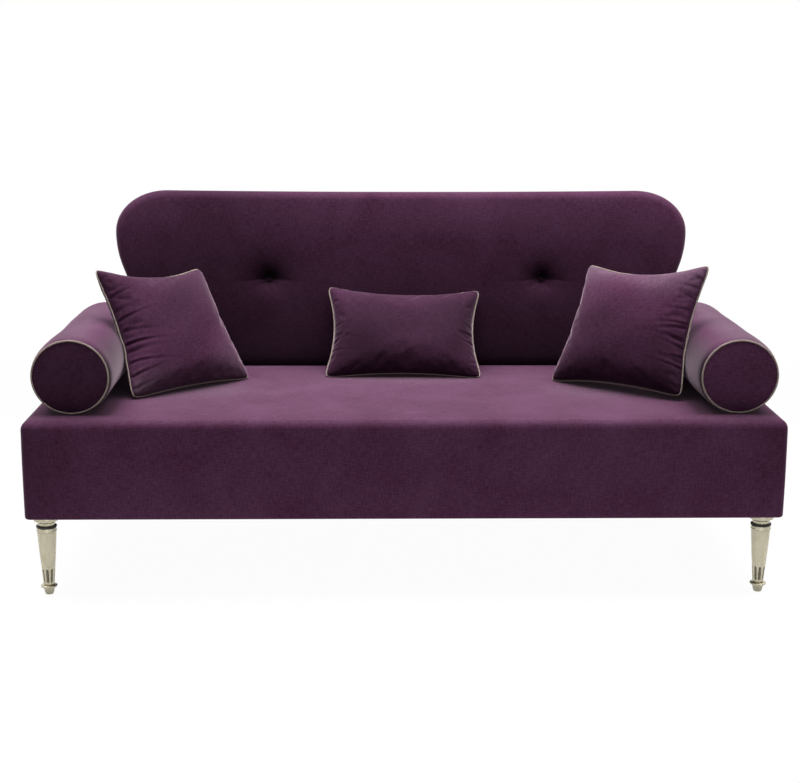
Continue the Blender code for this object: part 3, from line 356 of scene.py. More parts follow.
SEAT_TOP_DEPTH = 0.012
SEAT_TOP_WAVE = 0.0004
panels = seat_panels()
for points, _ in panels:
    level = np.clip((points[..., 2] - SEAT_HEIGHT) / SEAT_TOP_DEPTH + 1, 0, 1)
    points[..., 2] -= SEAT_TOP_WAVE * level * (1 + waves(*np.moveaxis(points, -1, 0)))
seat_velvet = sew("seat_velvet", panels, velvet)
stand_in(seat_velvet, "sofa", "seat_cover")

# Painted shade: the side is darker towards the ends, and the top is darker in a band beside each bolster, where
# # shade falls in the crevice. Painted light: the top is a little paler everywhere else, and more in front of the
# # cushions, where their shadows fall
BAND_X = 0.727
BAND_FRONT_Y = -0.375
BORDER_TOP = 0.43
x, y, z = places_of(seat_velvet).T
ends = 0.30 * np.exp(-np.maximum(x + SEAT_HALF_WIDTH, 0) / 0.10)
ends += 0.14 * np.exp(-np.maximum(SEAT_HALF_WIDTH - x, 0) / 0.08)
bands = 0.65 * np.exp(-abs(abs(x) - BAND_X) / 0.018) * (y > BAND_FRONT_Y)
painted_light = 0.06 + 0.20 * np.exp(-((abs(x) - 0.53) / 0.15) ** 2 - ((y + 0.08) / 0.11) ** 2)
painted_light += 0.20 * np.exp(-(x / 0.20) ** 2 - ((y - 0.06) / 0.06) ** 2)
paint_shade(seat_velvet, (z < BORDER_TOP) * ends + (z > SEAT_HEIGHT - SEAT_TOP_DEPTH) * (bands - painted_light))

# Woven lining, thin and black: crossing threads about 1 mm apart, drawn 2 mm apart
dress(streaked("woven_lining", "#141416", "#202024", (0.002, 0.010, 0.002), 0.9, 0.0002), "dust_cloth")
low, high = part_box("dust_cloth")

# ----------------------------------------------------------
# Back cover. Velvet is pulled over the foam face and round the padded edge of the back, and turned in at the rear
# round a sewn panel. Two covered buttons, tied through the back, draw it into dimples.

RECLINE = math.radians(9.0)
BACK_Y = seat_low.y + 0.660
BACK_DEPTH = 0.1245
BACK_FRONT_EDGE = 0.030
BACK_REAR_EDGE = 0.016
BACK_PROUD = 0.003
BACK_CROWN = 0.009
BACK_CROWN_RUN = 0.120
REAR_WINDOW = 0.022
BACK_MIDDLE_X = 0.0045
BACK_TOP_HALF = 0.6598
BACK_SHOULDER_WIDTH = 0.1438
BACK_SHOULDER_HEIGHT = 0.1147
BACK_WIDEST = 0.378
BACK_FLARE_RADIUS = 0.270
BACK_FLARE_END = 0.279
BACK_FLARE = math.radians(21.5)
BACK_HEIGHT = BACK_WIDEST + BACK_SHOULDER_HEIGHT
BACK_TOP_SAG = 0.004
TUFTS = ((-0.3745, 0.241), (0.3925, 0.241))
TUFT_DEPTH = 0.027


def stand(points):
    """Puts points of the back (across, into it, up along it) at their place on the sofa. The top edge sags by a
    parabola, the lower edge is lifted along the flared sides to lie level on the seat, and all of it leans."""
    x, y, z = points[..., 0], points[..., 1], points[..., 2]
    level = (REST + y * math.sin(RECLINE)) / math.cos(RECLINE) * np.clip(1 - z / 0.07, 0, 1)
    sag = BACK_TOP_SAG * np.clip(1 - (x / BACK_TOP_HALF) ** 2, 0, 1) * (z / BACK_HEIGHT) ** 3
    x = x * (1 + level * math.tan(BACK_FLARE) / BACK_TOP_HALF)
    z = z + level - sag
    return stacked(x + BACK_MIDDLE_X, BACK_Y + y * math.cos(RECLINE) + z * math.sin(RECLINE),
                   SEAT_HEIGHT + z * math.cos(RECLINE) - y * math.sin(RECLINE))


def back_line():
    """The back's outline, from its lower left over the top to its lower right, and the outward direction at each
    point. A side is a straight flare, then an arc, then a quarter of an ellipse as the shoulder."""
    tuft_z = TUFTS[0][1]
    low = np.r_[np.linspace(0, tuft_z - 0.05, 22, endpoint=False),
                np.linspace(tuft_z - 0.05, tuft_z + 0.05, 40, endpoint=False),
                np.linspace(tuft_z + 0.05, BACK_WIDEST, 14, endpoint=False)]
    below = np.minimum(BACK_WIDEST - low, BACK_WIDEST - BACK_FLARE_END)
    arc = BACK_FLARE_RADIUS - np.sqrt(BACK_FLARE_RADIUS ** 2 - below ** 2)
    straight = np.clip(BACK_FLARE_END - low, 0, 1) * math.tan(BACK_FLARE)
    side = BACK_TOP_HALF + BACK_SHOULDER_WIDTH - arc - straight
    turn = np.linspace(0, math.pi / 2, 19)
    side = np.r_[side, BACK_TOP_HALF + BACK_SHOULDER_WIDTH * np.cos(turn)]
    height = np.r_[low, BACK_WIDEST + BACK_SHOULDER_HEIGHT * np.sin(turn)]
    spots = [tuft[0] / 0.70 for tuft in TUFTS]
    across = np.linspace(-1, 1, 2001)
    density = 1 + 2.2 * sum(np.exp(-((across - spot) / 0.085) ** 4) for spot in spots)
    total = np.r_[0, np.cumsum((density[1:] + density[:-1]) / 2)]
    share = np.interp(np.linspace(0, total[-1], 301), total, across)
    top_x = share[1:-1] * BACK_TOP_HALF
    x = np.r_[-side, top_x, side[::-1]]
    z = np.r_[height, np.full(len(top_x), height[-1]), height[::-1]]
    along = stacked(np.gradient(x), np.gradient(z))
    along /= np.linalg.norm(along, axis=1)[:, None]
    return x, z, -along[:, 1], along[:, 0] * np.clip(z / 0.04, 0, 1), share, len(height)


def dimple(x, z):
    """How deep the buttons draw the cloth in: a pit that dies away with distance, longer sideways than upwards,
    with a fold running out to either side and faint rays."""
    depth = np.zeros_like(x)
    for number, (tuft_x, tuft_z) in enumerate(TUFTS):
        across, up = x - tuft_x, z - tuft_z
        away = np.hypot(across / 1.25, up * np.where(up > 0, 0.85, 1.15))
        pit = np.exp(-(np.maximum(away - 0.006, 0) / 0.022) ** 1.05)
        crease = abs(up - 0.004 + 0.10 * abs(across)) / 0.0045
        fold = 0.0085 * np.exp(-crease) * np.exp(-abs(across) / 0.030) * (away > 0.004)
        rays = 0.0014 * np.sin(7 * np.arctan2(up, across) + number) * np.exp(-away / 0.020) * (away > 0.006)
        depth += TUFT_DEPTH * pit + fold * (1 - pit) * 1.3 + rays
    return depth


def distance(grid_x, grid_z, line_x, line_z):
    """How far each point of a grid lies from the nearest point of a line, as the least of all the distances."""
    away = np.full(grid_x.shape, 1.0)
    for x, z in zip(line_x, line_z):
        away = np.minimum(away, np.hypot(grid_x - x, grid_z - z))
    return away


def over_rim(grid):
    """The outer points of a grid, up its left side, along its top and down its right side."""
    return np.r_[grid[:, 0], grid[-1, 1:-1], grid[::-1, -1]]


outline_x, outline_z, out_x, out_z, share, rows = back_line()
face_x, face_z = outline_x - BACK_FRONT_EDGE * out_x, outline_z - BACK_FRONT_EDGE * out_z
left_x, left_z = face_x[:rows], face_z[:rows]
right_x = face_x[::-1][:rows]
grid_x = left_x[:, None] + (right_x - left_x)[:, None] * (share + 1) / 2
grid_z = np.broadcast_to(left_z[:, None], grid_x.shape)
away = distance(grid_x, grid_z, outline_x[::3], outline_z[::3])
crown = BACK_CROWN * (1 - np.clip((away - BACK_FRONT_EDGE) / BACK_CROWN_RUN, 0, 1)) ** 2
crown[:, 0], crown[:, -1], crown[-1] = BACK_CROWN, BACK_CROWN, BACK_CROWN
tuck = 0.008 * np.exp(-grid_z / 0.010)
loose = 0.0005 * waves(grid_x, 0.4 * grid_x, grid_z) * (1 - crown / BACK_CROWN)
face = stacked(grid_x, crown - BACK_PROUD + dimple(grid_x, grid_z) + tuck + loose, grid_z)

quarter = np.linspace(0, math.pi / 2, 9)
inset = np.r_[BACK_FRONT_EDGE * (1 - np.sin(quarter)), [0, 0, 0],
              BACK_REAR_EDGE * (1 - np.cos(quarter[::2])),
              [REAR_WINDOW - 0.003, REAR_WINDOW, REAR_WINDOW + 0.0024]]
depth = np.r_[BACK_CROWN - BACK_PROUD + BACK_FRONT_EDGE * (1 - np.cos(quarter)), [0.055, 0.075, 0.095],
              BACK_DEPTH - BACK_REAR_EDGE * (1 - np.sin(quarter[::2])),
              [BACK_DEPTH - 0.0004, BACK_DEPTH - 0.0026, BACK_DEPTH - 0.0042]]
walked = run_along(inset, depth)
edge = stacked(outline_x - inset[:, None] * out_x, depth[:, None], outline_z - inset[:, None] * out_z)
edge[0] = over_rim(face)
flat_edge = stacked(face_x + walked[:, None] * out_x, face_z + walked[:, None] * out_z)
back_velvet = sew("back_velvet", [(stand(face), stacked(grid_x, grid_z)), (stand(edge), flat_edge)], velvet)
stand_in(back_velvet, "sofa", "back_cover")

# Painted shade: it is darker the lower it is, darker on the left and round the buttons, and less dark at the right
# end
x, _, z = places_of(back_velvet).T
up = np.clip((z - SEAT_HEIGHT) / (BACK_HEIGHT * math.cos(RECLINE)), 0, 1)
back_shade = 0.04 + 0.76 * (1 - up) + 0.06 * np.exp(-up / 0.05)
back_shade += 0.30 * up * np.exp(-((x + 0.54) / 0.24) ** 2) - 0.16 * np.exp(-((x - 0.82) / 0.14) ** 2)
for tuft_x, tuft_z in TUFTS:
    across, rise = x - tuft_x - BACK_MIDDLE_X, up * BACK_HEIGHT - tuft_z
    far = np.hypot((across - 0.006) / 1.5, (rise - 0.012) * np.where(rise > 0, 0.8, 1.8))
    back_shade += 0.60 * np.exp(-far / 0.024)
paint_shade(back_velvet, back_shade)

# The foam under it is one cut slab with the same face, 2.5 mm further in, and a flat rear
FOAM_INSET = 0.0025
FOAM_REAR = 0.0722
bend = BACK_FRONT_EDGE - FOAM_INSET
inset = np.append(BACK_FRONT_EDGE - bend * np.sin(quarter), FOAM_INSET)[:, None]
depth = np.append(BACK_CROWN - BACK_PROUD + BACK_FRONT_EDGE - bend * np.cos(quarter), FOAM_REAR)[:, None]
front = face + np.array([0, FOAM_INSET, 0])
band = stacked(outline_x - inset * out_x, depth, outline_z - inset * out_z)
left, right = band[-1, :rows], band[-1, ::-1][:rows]
across = (share[:, None] + 1) / 2
rear = left[:, None] + (right - left)[:, None] * across
band[0], band[-1] = over_rim(front), over_rim(rear)
under = band[:, :1] + (band[:, -1:] - band[:, :1]) * across
under[0], under[-1] = front[0], rear[0]
foam = sew("back_foam_slab", [(stand(part), part[..., [0, 2]]) for part in (front, band, rear, under)],
           bpy.data.materials["upholstery_foam"])
stand_in(foam, "sofa", "back_foam")

# ----------------------------------------------------------
# Outside back. A flat velvet panel closes the rear of the back, blind-stitched along its turned edge inside the
# cover that comes round from the front, so a fine groove runs round it. Its foot follows the seat's rounded edge.

PANEL_INSET = REAR_WINDOW + 0.0006
PANEL_DROP = 0.0025
rear_x, rear_z = outline_x - PANEL_INSET * out_x, outline_z - PANEL_INSET * out_z
left_x, right_x = rear_x[:rows:2], rear_x[::-1][:rows:2]
columns = np.linspace(0, 1, 61)
panel_x = left_x[:, None] + (right_x - left_x)[:, None] * columns
panel_z = np.broadcast_to(rear_z[:rows:2][:, None], panel_x.shape).copy()
panel_z[0] -= PANEL_DROP
away = distance(panel_x, panel_z, rear_x[::2], rear_z[::2])
sunk = 0.0009 * np.exp(-away / 0.0045) + 0.0008 + 0.0003 * waves(panel_x, panel_x, panel_z)
panel = stacked(panel_x, BACK_DEPTH - sunk, panel_z)
rear_velvet = sew("rear_panel_velvet", [(stand(panel), stacked(panel_x, panel_z))], velvet)
stand_in(rear_velvet, "sofa", "outside_back")

# ----------------------------------------------------------
# Buttons. Each is a 15 mm domed metal shell with velvet pressed round it. Its twine runs through the back and pulls
# it into the foam, so it sits in the dimple.

BUTTON_SIDES = 32
BUTTON_PROUD = 0.0072
for side, (tuft_x, tuft_z) in zip(("left", "right"), TUFTS):
    low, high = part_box(f"tuft_button_{side}")
    radius = (high.x - low.x) / 2
    dome = np.array([0, 0.25, 0.5, 0.72, 0.88, 0.97, 1.0, 0.97, 0.90])[:, None] * radius
    rise = np.array([0, 0.10, 0.35, 0.75, 1.35, 2.2, 3.2, 4.4, 5.2])[:, None] / 1000
    turn = np.linspace(0, math.tau, BUTTON_SIDES + 1)
    front = TUFT_DEPTH - BUTTON_PROUD
    button = stacked(tuft_x + dome * np.cos(turn), front + rise, tuft_z + dome * np.sin(turn))
    button = sew(f"button_velvet_{side}", [(stand(button), button[..., [0, 2]])], velvet)
    stand_in(button, "sofa", f"tuft_button_{side}")
    # Painted shade darkens the button, as it sits in the dimple's shade
    paint_shade(button, np.full(len(button.data.vertices), 0.75))

# ----------------------------------------------------------
# Legs. A cast metal leg screws up into a corner block: a flanged plate, a thin black collar, a tapering column with
# a bead near its top and eight short flutes near its foot, and a turned foot.

LEG_X = 0.880
LEG_FRONT_Y = -0.3837
LEG_REAR_Y = 0.3450
FLUTES = 8
FLUTE_HALF_WIDTH = 0.0036
FLUTE_DEPTH = 0.0034
FLUTE_LOW = 0.0305
FLUTE_HIGH = 0.0665


def swept(centre, radius, turn, height):
    """The points at these radii and angles round the centre, each at its height."""
    return stacked(centre[0] + radius * np.cos(turn), centre[1] + radius * np.sin(turn), height[:, None])


def lathe(centre, radius, height, sides=96):
    """A turned form: each radius at its height, swept round the centre."""
    turn = np.linspace(0, math.tau, sides + 1)
    return (swept(centre, radius[:, None], turn, height),
            stacked(turn * radius.max(), run_along(radius, height)[:, None]))


def fluted(centre, radius, height, sides):
    """A turned form with round-ended grooves sunk into it, spread evenly round it."""
    turn = np.linspace(0, math.tau, sides + 1)
    step = math.tau / FLUTES
    off = abs((turn + step / 2) % step - step / 2) * radius[:, None]
    beyond = np.maximum(np.maximum(FLUTE_LOW + FLUTE_HALF_WIDTH - height, height - FLUTE_HIGH + FLUTE_HALF_WIDTH), 0)
    reach = np.hypot(off, beyond[:, None]) / FLUTE_HALF_WIDTH
    groove = FLUTE_DEPTH * np.sqrt(np.clip(1 - reach ** 2, 0, 1))
    return swept(centre, radius[:, None] - groove, turn, height), stacked(turn * 0.02, height[:, None])


def paint_recess_shade(finish, dark):
    """Mixes a dark colour into a finish as painted shade, by the share that a piece's attribute for it has at each
    point.
    """
    tree = finish.node_tree
    shader = tree.nodes["Principled BSDF"]
    plain = shader.inputs["Base Color"].links[0].from_socket
    recess_shade = put(tree, "Attribute", attribute_name="recess_shade").outputs["Fac"]
    tone = blend(tree, recess_shade, plain, linear(dark))
    tree.links.new(tone, shader.inputs["Base Color"])


# Cast metal in a satin champagne finish: warm silver, faintly cloudy over 12 mm, with a soft highlight. A dark
# # colour is mixed in as painted shade in the flutes, below the bead and towards the foot's lower edge.
champagne = streaked("champagne_cast_metal", "#B7B099", "#C3BCA6", (0.012, 0.012, 0.030), 0.26, 0.00003, 0.70)
paint_recess_shade(champagne, "#3A362B")
# Moulded black plastic: nearly black, with a fine matt grain
black = streaked("black_collar", "#0C0C0D", "#161617", (0.0015, 0.0015, 0.0015), 0.5, 0.00005)

# Radius and height of each turned piece, from its foot up, in metres
COLUMN_SIDES = 192
column_high = np.linspace(0.0238, 0.1720, 120)
column_radius = np.interp(column_high, [0.0238, 0.030, 0.0665, 0.100, 0.140, 0.172],
                          [0.0132, 0.0135, 0.0165, 0.0194, 0.0222, 0.0242])
column_radius += 0.0015 * np.exp(-((column_high - 0.164) / 0.0016) ** 2)
column_radius[:3] -= np.array([0.0014, 0.0006, 0.0002])
column_radius[-3:] -= np.array([0.0002, 0.0006, 0.0014])
plate_line = np.array([
    (0, 0.1766), (0.0200, 0.1766), (0.0206, 0.1770), (0.0208, 0.1800), (0.0214, 0.1840), (0.0232, 0.1868),
    (0.0262, 0.1884), (0.0290, 0.1893), (0.0298, 0.1898), (0.0300, 0.1908), (0.0300, 0.1985), (0.0296, 0.1994),
    (0, 0.1997)]).T
collar_line = np.array([
    (0, 0.1723), (0.0244, 0.1723), (0.0250, 0.1726), (0.02525, 0.1732), (0.02525, 0.1754), (0.0250, 0.1760),
    (0.0244, 0.1763), (0, 0.1763)]).T
foot_line = np.array([
    (0, 0), (0.0090, 0), (0.0098, 0.0004), (0.0100, 0.0012), (0.0100, 0.0028), (0.0106, 0.0034), (0.0118, 0.0060),
    (0.0125, 0.0110), (0.0150, 0.0160), (0.0185, 0.0186), (0.0197, 0.0192), (0.0200, 0.0200), (0.0200, 0.0222),
    (0.0194, 0.0230), (0.0185, 0.0235), (0, 0.0235)]).T
for side, leg_x in (("left", -LEG_X), ("right", LEG_X)):
    for end, leg_y in (("front", LEG_FRONT_Y), ("rear", LEG_REAR_Y)):
        centre = (leg_x, leg_y)
        points, flat = fluted(centre, column_radius, column_high, COLUMN_SIDES)
        bottom = lathe(centre, column_radius[0] * np.array([0, 0.5, 1]), np.full(3, column_high[0]), COLUMN_SIDES)
        top = lathe(centre, column_radius[-1] * np.array([1, 0.5, 0]), np.full(3, column_high[-1]), COLUMN_SIDES)
        bottom[0][-1], top[0][0] = points[0], points[-1]
        for name, node, panels in (("column", "column", [(points, flat), bottom, top]),
                                   ("plate", "plate", [lathe(centre, *plate_line)]),
                                   ("collar", "ring", [lathe(centre, *collar_line)]),
                                   ("foot", "foot", [lathe(centre, *foot_line)])):
            finish, slot = (black, "black_collar") if node == "ring" else (champagne, "champagne_cast_metal")
            piece = sew(f"{name}_{end}_{side}", panels, finish)
            stand_in(piece, "sofa", f"leg_{node}_{end}_{side}")
            x, y, z = places_of(piece).T
            out = np.hypot(x - leg_x, y - leg_y)
            sunk = np.interp(z, column_high, column_radius) - out
            # Painted shade: darker in the flutes, in a narrow band below the bead and towards the foot's lower edge
            flute = (node == "column") * 0.80 * np.clip(sunk / FLUTE_DEPTH * 1.3, 0, 1) * (out > 0.008)
            below_edges = 0.45 * np.exp(-abs(z - 0.1618) / 0.0010) + 0.35 * np.clip((0.021 - z) / 0.006, 0, 1)
            if finish is champagne:
                keep(piece, "recess_shade", np.clip(np.maximum(flute, below_edges), 0, 1))

# ----------------------------------------------------------
# Bolsters. A velvet tube and two velvet discs, joined by a piped seam at each end, are zipped over a roll of fibre.
# The body swells past the seams, the discs puff out, and both gather faintly into the stitching.

BOLSTER_LENGTH = 0.600
BOLSTER_HALF_HEIGHT = 0.095
BOLSTER_SINK = 0.002
BOLSTER_SEAM_DROP = 0.006
BOLSTER_DISC = 0.009
PIPING = 0.0042
PIPING_OUT = 0.0003


def piping_finish():
    """Cotton cord covered in plain taupe cloth, cut on the bias: matt, a little lighter on its raised threads,
    which are really 0.5 mm apart and are drawn 1.6 mm apart, aslant."""
    made, tree, shader = begin("taupe_piping", {"Roughness": 0.8, "Specular IOR Level": 0.2, "Sheen Weight": 0.3,
                                                "Sheen Tint": linear("#E8DDD0")})
    cloth = put(tree, "UVMap", uv_map="cloth").outputs["UV"]
    threads = noise_on(tree, cloth, (600, 160, 1), turn=(0, 0, math.radians(45)), noise_dimensions="2D")
    tone = blend(tree, threads, linear("#685B55"), linear("#988B83"))
    tree.links.new(tone, shader.inputs["Base Color"])
    raise_by(tree, shader, threads, 0.0006, 0.6)
    return made


piping_cloth = piping_finish()


def cord_round(path, radius, up, sides=12):
    """A tube round a closed line: at each point a circle that stands across the line's direction."""
    path = np.r_[path, path[:1]]
    ahead = np.roll(path[:-1], -1, 0) - np.roll(path[:-1], 1, 0)
    ahead = np.r_[ahead, ahead[:1]]
    ahead /= np.linalg.norm(ahead, axis=1)[:, None]
    side = np.cross(ahead, np.asarray(up, float))
    side /= np.linalg.norm(side, axis=1)[:, None]
    over = np.cross(side, ahead)
    turn = np.linspace(0, math.tau, sides + 1)
    points = path[:, None] + radius * (np.cos(turn)[:, None] * side[:, None] + np.sin(turn)[:, None] * over[:, None])
    walked = np.r_[0, np.cumsum(np.linalg.norm(np.diff(path, axis=0), axis=1))]
    return points, stacked(walked[:, None], turn * radius)


def gathers(angle, away, count, phase):
    """Small puckers at a seam: uneven sines round it that die away from it."""
    uneven = np.sin(count * angle + phase) + 0.6 * np.sin((count * 0.618) * angle + 2.1 * phase) * np.cos(3 * angle)
    return uneven * np.exp(-away / 0.011)


def bolster_panels(centre_x, centre_y, half_width, half_height, foot, phase):
    """The body as a swept ring whose radius swells from the seams, two crowned discs, and the lines of the piping.
    What would lie below the foot's level is pressed flat on it."""
    turn = np.linspace(0, math.tau, 161)
    end = BOLSTER_LENGTH / 2 - BOLSTER_DISC
    step = np.r_[np.linspace(0, 0.06, 16), np.linspace(0.06, 2 * end - 0.06, 40)[1:-1],
                 2 * end - np.linspace(0.06, 0, 16)]
    along = step - end
    away = end - abs(along)
    swell = BOLSTER_SEAM_DROP * (1 - np.exp(-away / 0.010))
    radius = half_height - BOLSTER_SEAM_DROP + swell
    lumps = 0.0012 * np.sin(9 * along[:, None] + 2 * turn + phase) + 0.0008 * np.sin(
        21 * along[:, None] - 3 * turn + 2 * phase)
    grown = radius[:, None] + lumps * (1 - np.exp(-away / 0.05))[:, None] + 0.0008 * gathers(
        turn, away[:, None], 46, phase) * (away > 0.0005)[:, None]
    wide = half_width / half_height
    middle_z = foot + half_height - BOLSTER_SINK

    def place(r, y):
        z = middle_z + r * np.sin(turn)
        z = foot + np.logaddexp((z - foot) / 0.0012, 0) * 0.0012
        return stacked(centre_x + r * wide * np.cos(turn), centre_y + y, z)

    body = place(grown, along[:, None])
    flat = stacked(turn * half_height, along[:, None])
    panels = [(body, flat)]
    rim = radius[0]
    share = np.r_[np.linspace(0, 0.8, 14), np.linspace(0.8, 1, 12)[1:]][:, None]
    inward = rim * (1 - share)
    puff = BOLSTER_DISC * (1 - share ** 2.6) + 0.0010 * gathers(turn, inward, 30, phase + 1) * (share < 0.999)
    rings = []
    for sign in (-1, 1):
        disc = place(rim * share, sign * (end + puff))
        disc[-1] = body[0 if sign < 0 else -1]
        panels.append((disc, stacked(rim * share * np.cos(turn), rim * share * np.sin(turn))))
        ring_x = centre_x + (rim + PIPING_OUT) * wide * np.cos(turn[:-1])
        ring_z = np.maximum(middle_z + (rim + PIPING_OUT) * np.sin(turn[:-1]), foot + PIPING / 2)
        rings.append(stacked(ring_x, centre_y + sign * (end + 0.001), ring_z))
    return panels, rings


# How far each cover lies across from the middle of its box, how much painted shade darkens its front disc, and how
# # much painted light lightens its top
BOLSTERS = {"left": (0.003, 0.42, 0.24), "right": (-0.006, 0.05, 0.32)}
bolster_ovals = []
for number, (side, (across, disc_shade, top_light)) in enumerate(BOLSTERS.items()):
    low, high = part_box(f"bolster_{side}_cover")
    middle_x, middle_y, half_width = (low.x + high.x) / 2, (low.y + high.y) / 2, (high.x - low.x) / 2
    panels, rings = bolster_panels(middle_x + across, middle_y, half_width, BOLSTER_HALF_HEIGHT, low.z, 1.7 * number)
    bolster_ovals.append((middle_x + across, low.z + BOLSTER_HALF_HEIGHT - BOLSTER_SINK, half_width,
                          BOLSTER_HALF_HEIGHT))
    case = sew(f"bolster_case_{side}", panels, velvet)
    stand_in(case, f"bolster_{side}", f"bolster_{side}_cover")
    places = places_of(case)
    x, y, z = places.T
    disc = y < middle_y - BOLSTER_LENGTH / 2 + BOLSTER_DISC + 0.001
    over = np.clip((z - low.z) / BOLSTER_HALF_HEIGHT - 1, 0, 1)
    inner = np.clip((x - middle_x) * (1, -1)[number] / 0.0985, 0, 1)
    # Painted shade darkens the front disc and the inner side towards the crevice, and painted light lightens the top
    paint_shade(case, np.where(disc, disc_shade, 0.95 * inner ** 2.2 - top_light * over))
    for end, ring in zip(("front", "rear"), rings):
        cord = sew(f"bolster_cord_{side}_{end}", [cord_round(ring, PIPING / 2, (0, 1, 0))], piping_cloth)
        stand_in(cord, f"bolster_{side}", f"bolster_{side}_piping_{end}")
    core = link(f"bolster_roll_{side}", case.data.copy())
    middle = (places.max(0) + places.min(0)) / 2
    move_to(core, middle + (places - middle) * (0.965, 0.985, 0.955))
    core.data.materials[0] = wadding
    stand_in(core, f"bolster_{side}", f"bolster_{side}_core")

# ----------------------------------------------------------
# Cushions. Each is a velvet case with piping sewn into its one seam, zipped over a loose fibre filling. The sides
# draw in between the corners, the faces crown, and the cloth puckers where it is stitched to the piping.

PINCH_SIDE = 0.125
PINCH_TOP = 0.215
CORNER_ROUND = 0.060
CUSHION_STEPS = 88
START_FILL = 0.92
SEAM_REACH = 0.0035
PIPING_SINK = 0.0008
CASE_CLEARANCE = 0.0025
STUFFING_CLEARANCE = 0.006


def side_share(v):
    """How far a side seam has drawn in at a height: a parabola that is nothing at the corners."""
    return PINCH_SIDE * (1 - v ** 2)


def case_line(u, v, width, height, pinch_foot):
    """Where a point of the flat case lies once it is filled: its sides draw in as parabolas, and its corners are
    rounded by a term that matters only near them."""
    tip = 1 - CORNER_ROUND * abs(u * v) ** 10
    pinch = np.where(v > 0, PINCH_TOP, pinch_foot)
    x = width / 2 * u * (1 - side_share(v) * abs(u) ** 1.5) * tip
    z = height / 2 * v * (1 - pinch * (1 - u ** 2) * abs(v) ** 1.5) * tip
    return x, z


def seam_level(u, v, twist, curl):
    """How far the seam's surface lies behind the flat case: a twist that grows with u times v, and a curl that
    grows with the cube of u on one side."""
    return abs(curl) * np.clip(u * np.sign(curl), 0, 1) ** 3 - twist * u * v


def inflate(piece, held, pressure, spare, cap):
    """Blows the case up with Blender's cloth: the seam is held, the cloth has some spare, and no point moves
    further than cap."""
    before = places_of(piece)
    piece.vertex_groups.new(name="seam").add(held, 1.0, "REPLACE")
    cloth = piece.modifiers.new("cloth", "CLOTH")
    for name, value in dict(
            quality=5, mass=0.25, tension_stiffness=12, compression_stiffness=12, shear_stiffness=4,
            bending_stiffness=3.0, use_pressure=True, uniform_pressure_force=pressure, shrink_min=-spare,
            vertex_group_mass="seam").items():
        setattr(cloth.settings, name, value)
    cloth.settings.effector_weights.gravity = 0
    cloth.collision_settings.use_collision = False
    for step in range(1, 21):
        scene.frame_set(step)
    move = places_of(piece.evaluated_get(bpy.context.evaluated_depsgraph_get())) - before
    far = np.linalg.norm(move, axis=1, keepdims=True)
    move *= np.minimum(1, cap / np.maximum(far, 1e-9))
    piece.modifiers.remove(cloth)
    piece.vertex_groups.clear()
    scene.frame_set(1)
    move_to(piece, before + move)


# Sizes and places are in metres, places across the sofa and back from the seat's front. The angles in degrees are
# # lean about X, roll about Y, which comes first, and turn about Z. Pleated says which side has the strong pleats,
# how
# # many, how deep and how long. The painted shade is given at the head, the middle and the foot, and below zero it
# is
# # painted light. Curl says how far one side's seam curls back, the right one's above zero and the left one's below.
# # Pinch says how far the foot draws in.
CUSHIONS = {
    "left": dict(
        width=0.392, height=0.357, thick=0.134, twist=-0.016, curl=0.014, pinch=0.065, piping=0.0035,
        place=(-0.607, 0.421), angles=(-32.0, 2.5, 47.5), shade_by_height=(0.38, 0.36, -0.35),
        pleated=("left", 11, 0.0120, 0.030)),
    "right": dict(
        width=0.410, height=0.357, thick=0.134, twist=0.013, curl=-0.012, pinch=0.095, piping=0.0035,
        place=(0.596, 0.388), angles=(-28.0, -3.4, -45.0), shade_by_height=(-0.34, 0.22, 0.58),
        pleated=("right", 17, 0.0085, 0.020)),
    "lumbar": dict(
        width=0.434, height=0.291, thick=0.117, twist=-0.004, curl=0.0, pinch=0.12, piping=0.0026,
        place=(0.006, 0.587), angles=(-40.3, 0.9, -0.5), shade_by_height=(0.34, 0.60, 0.52),
        pleated=("both", 10, 0.0062, 0.018)),
}


def fade(inward, long):
    """How strong a fold is at a distance from its seam: from nothing to full over 5 mm, then dying away."""
    return np.exp(-np.maximum(inward, 0) / long) * np.clip(inward / 0.005, 0, 1)


def pleats(x, z, row, phase):
    """Folds that run in from the seams: narrow furrows, each with a ridge beside it, at uneven places along a seam,
    deepest a little way in and dying away with distance from it."""
    side, count, deepest, longest = row["pleated"]
    half_width, half_height = row["width"] / 2, row["height"] / 2
    depth = np.zeros_like(x)
    rng = np.random.default_rng(phase)
    for sign in (-1, 1):
        strong = side in ("both", {-1: "left", 1: "right"}[sign])
        for place in np.linspace(-0.84, 0.80, count) + rng.uniform(-0.04, 0.04, count):
            size = rng.uniform(0.35, 1.0) * (deepest if strong else 0.0020)
            size *= 0.30 + 0.70 * math.exp(-((place + 0.22) / 0.42) ** 2)
            wide, long = rng.uniform(0.0034, 0.0056), longest * rng.uniform(0.35, 1.15)
            slope = rng.uniform(-0.35, 0.35)
            inward = sign * (sign * half_width * (1 - side_share(place)) - x)
            off = z - place * half_height - slope * inward
            furrow = np.exp(-(off / wide) ** 2) - 0.55 * np.exp(-((off - 1.9 * wide) / wide) ** 2)
            depth += size * furrow * fade(inward, long)
        pinch = PINCH_TOP if sign > 0 else row["pinch"]
        for place in np.linspace(-0.84, 0.84, 11) + rng.uniform(-0.06, 0.06, 11):
            size = rng.uniform(0.3, 1.0) * (0.0016 if sign > 0 else 0.0007)
            wide, long = rng.uniform(0.004, 0.007), rng.uniform(0.010, 0.024)
            inward = sign * (sign * half_height * (1 - pinch * (1 - place ** 2)) - z)
            off = x - place * half_width
            depth += size * np.exp(-(off / wide) ** 2) * fade(inward, long)
    return depth


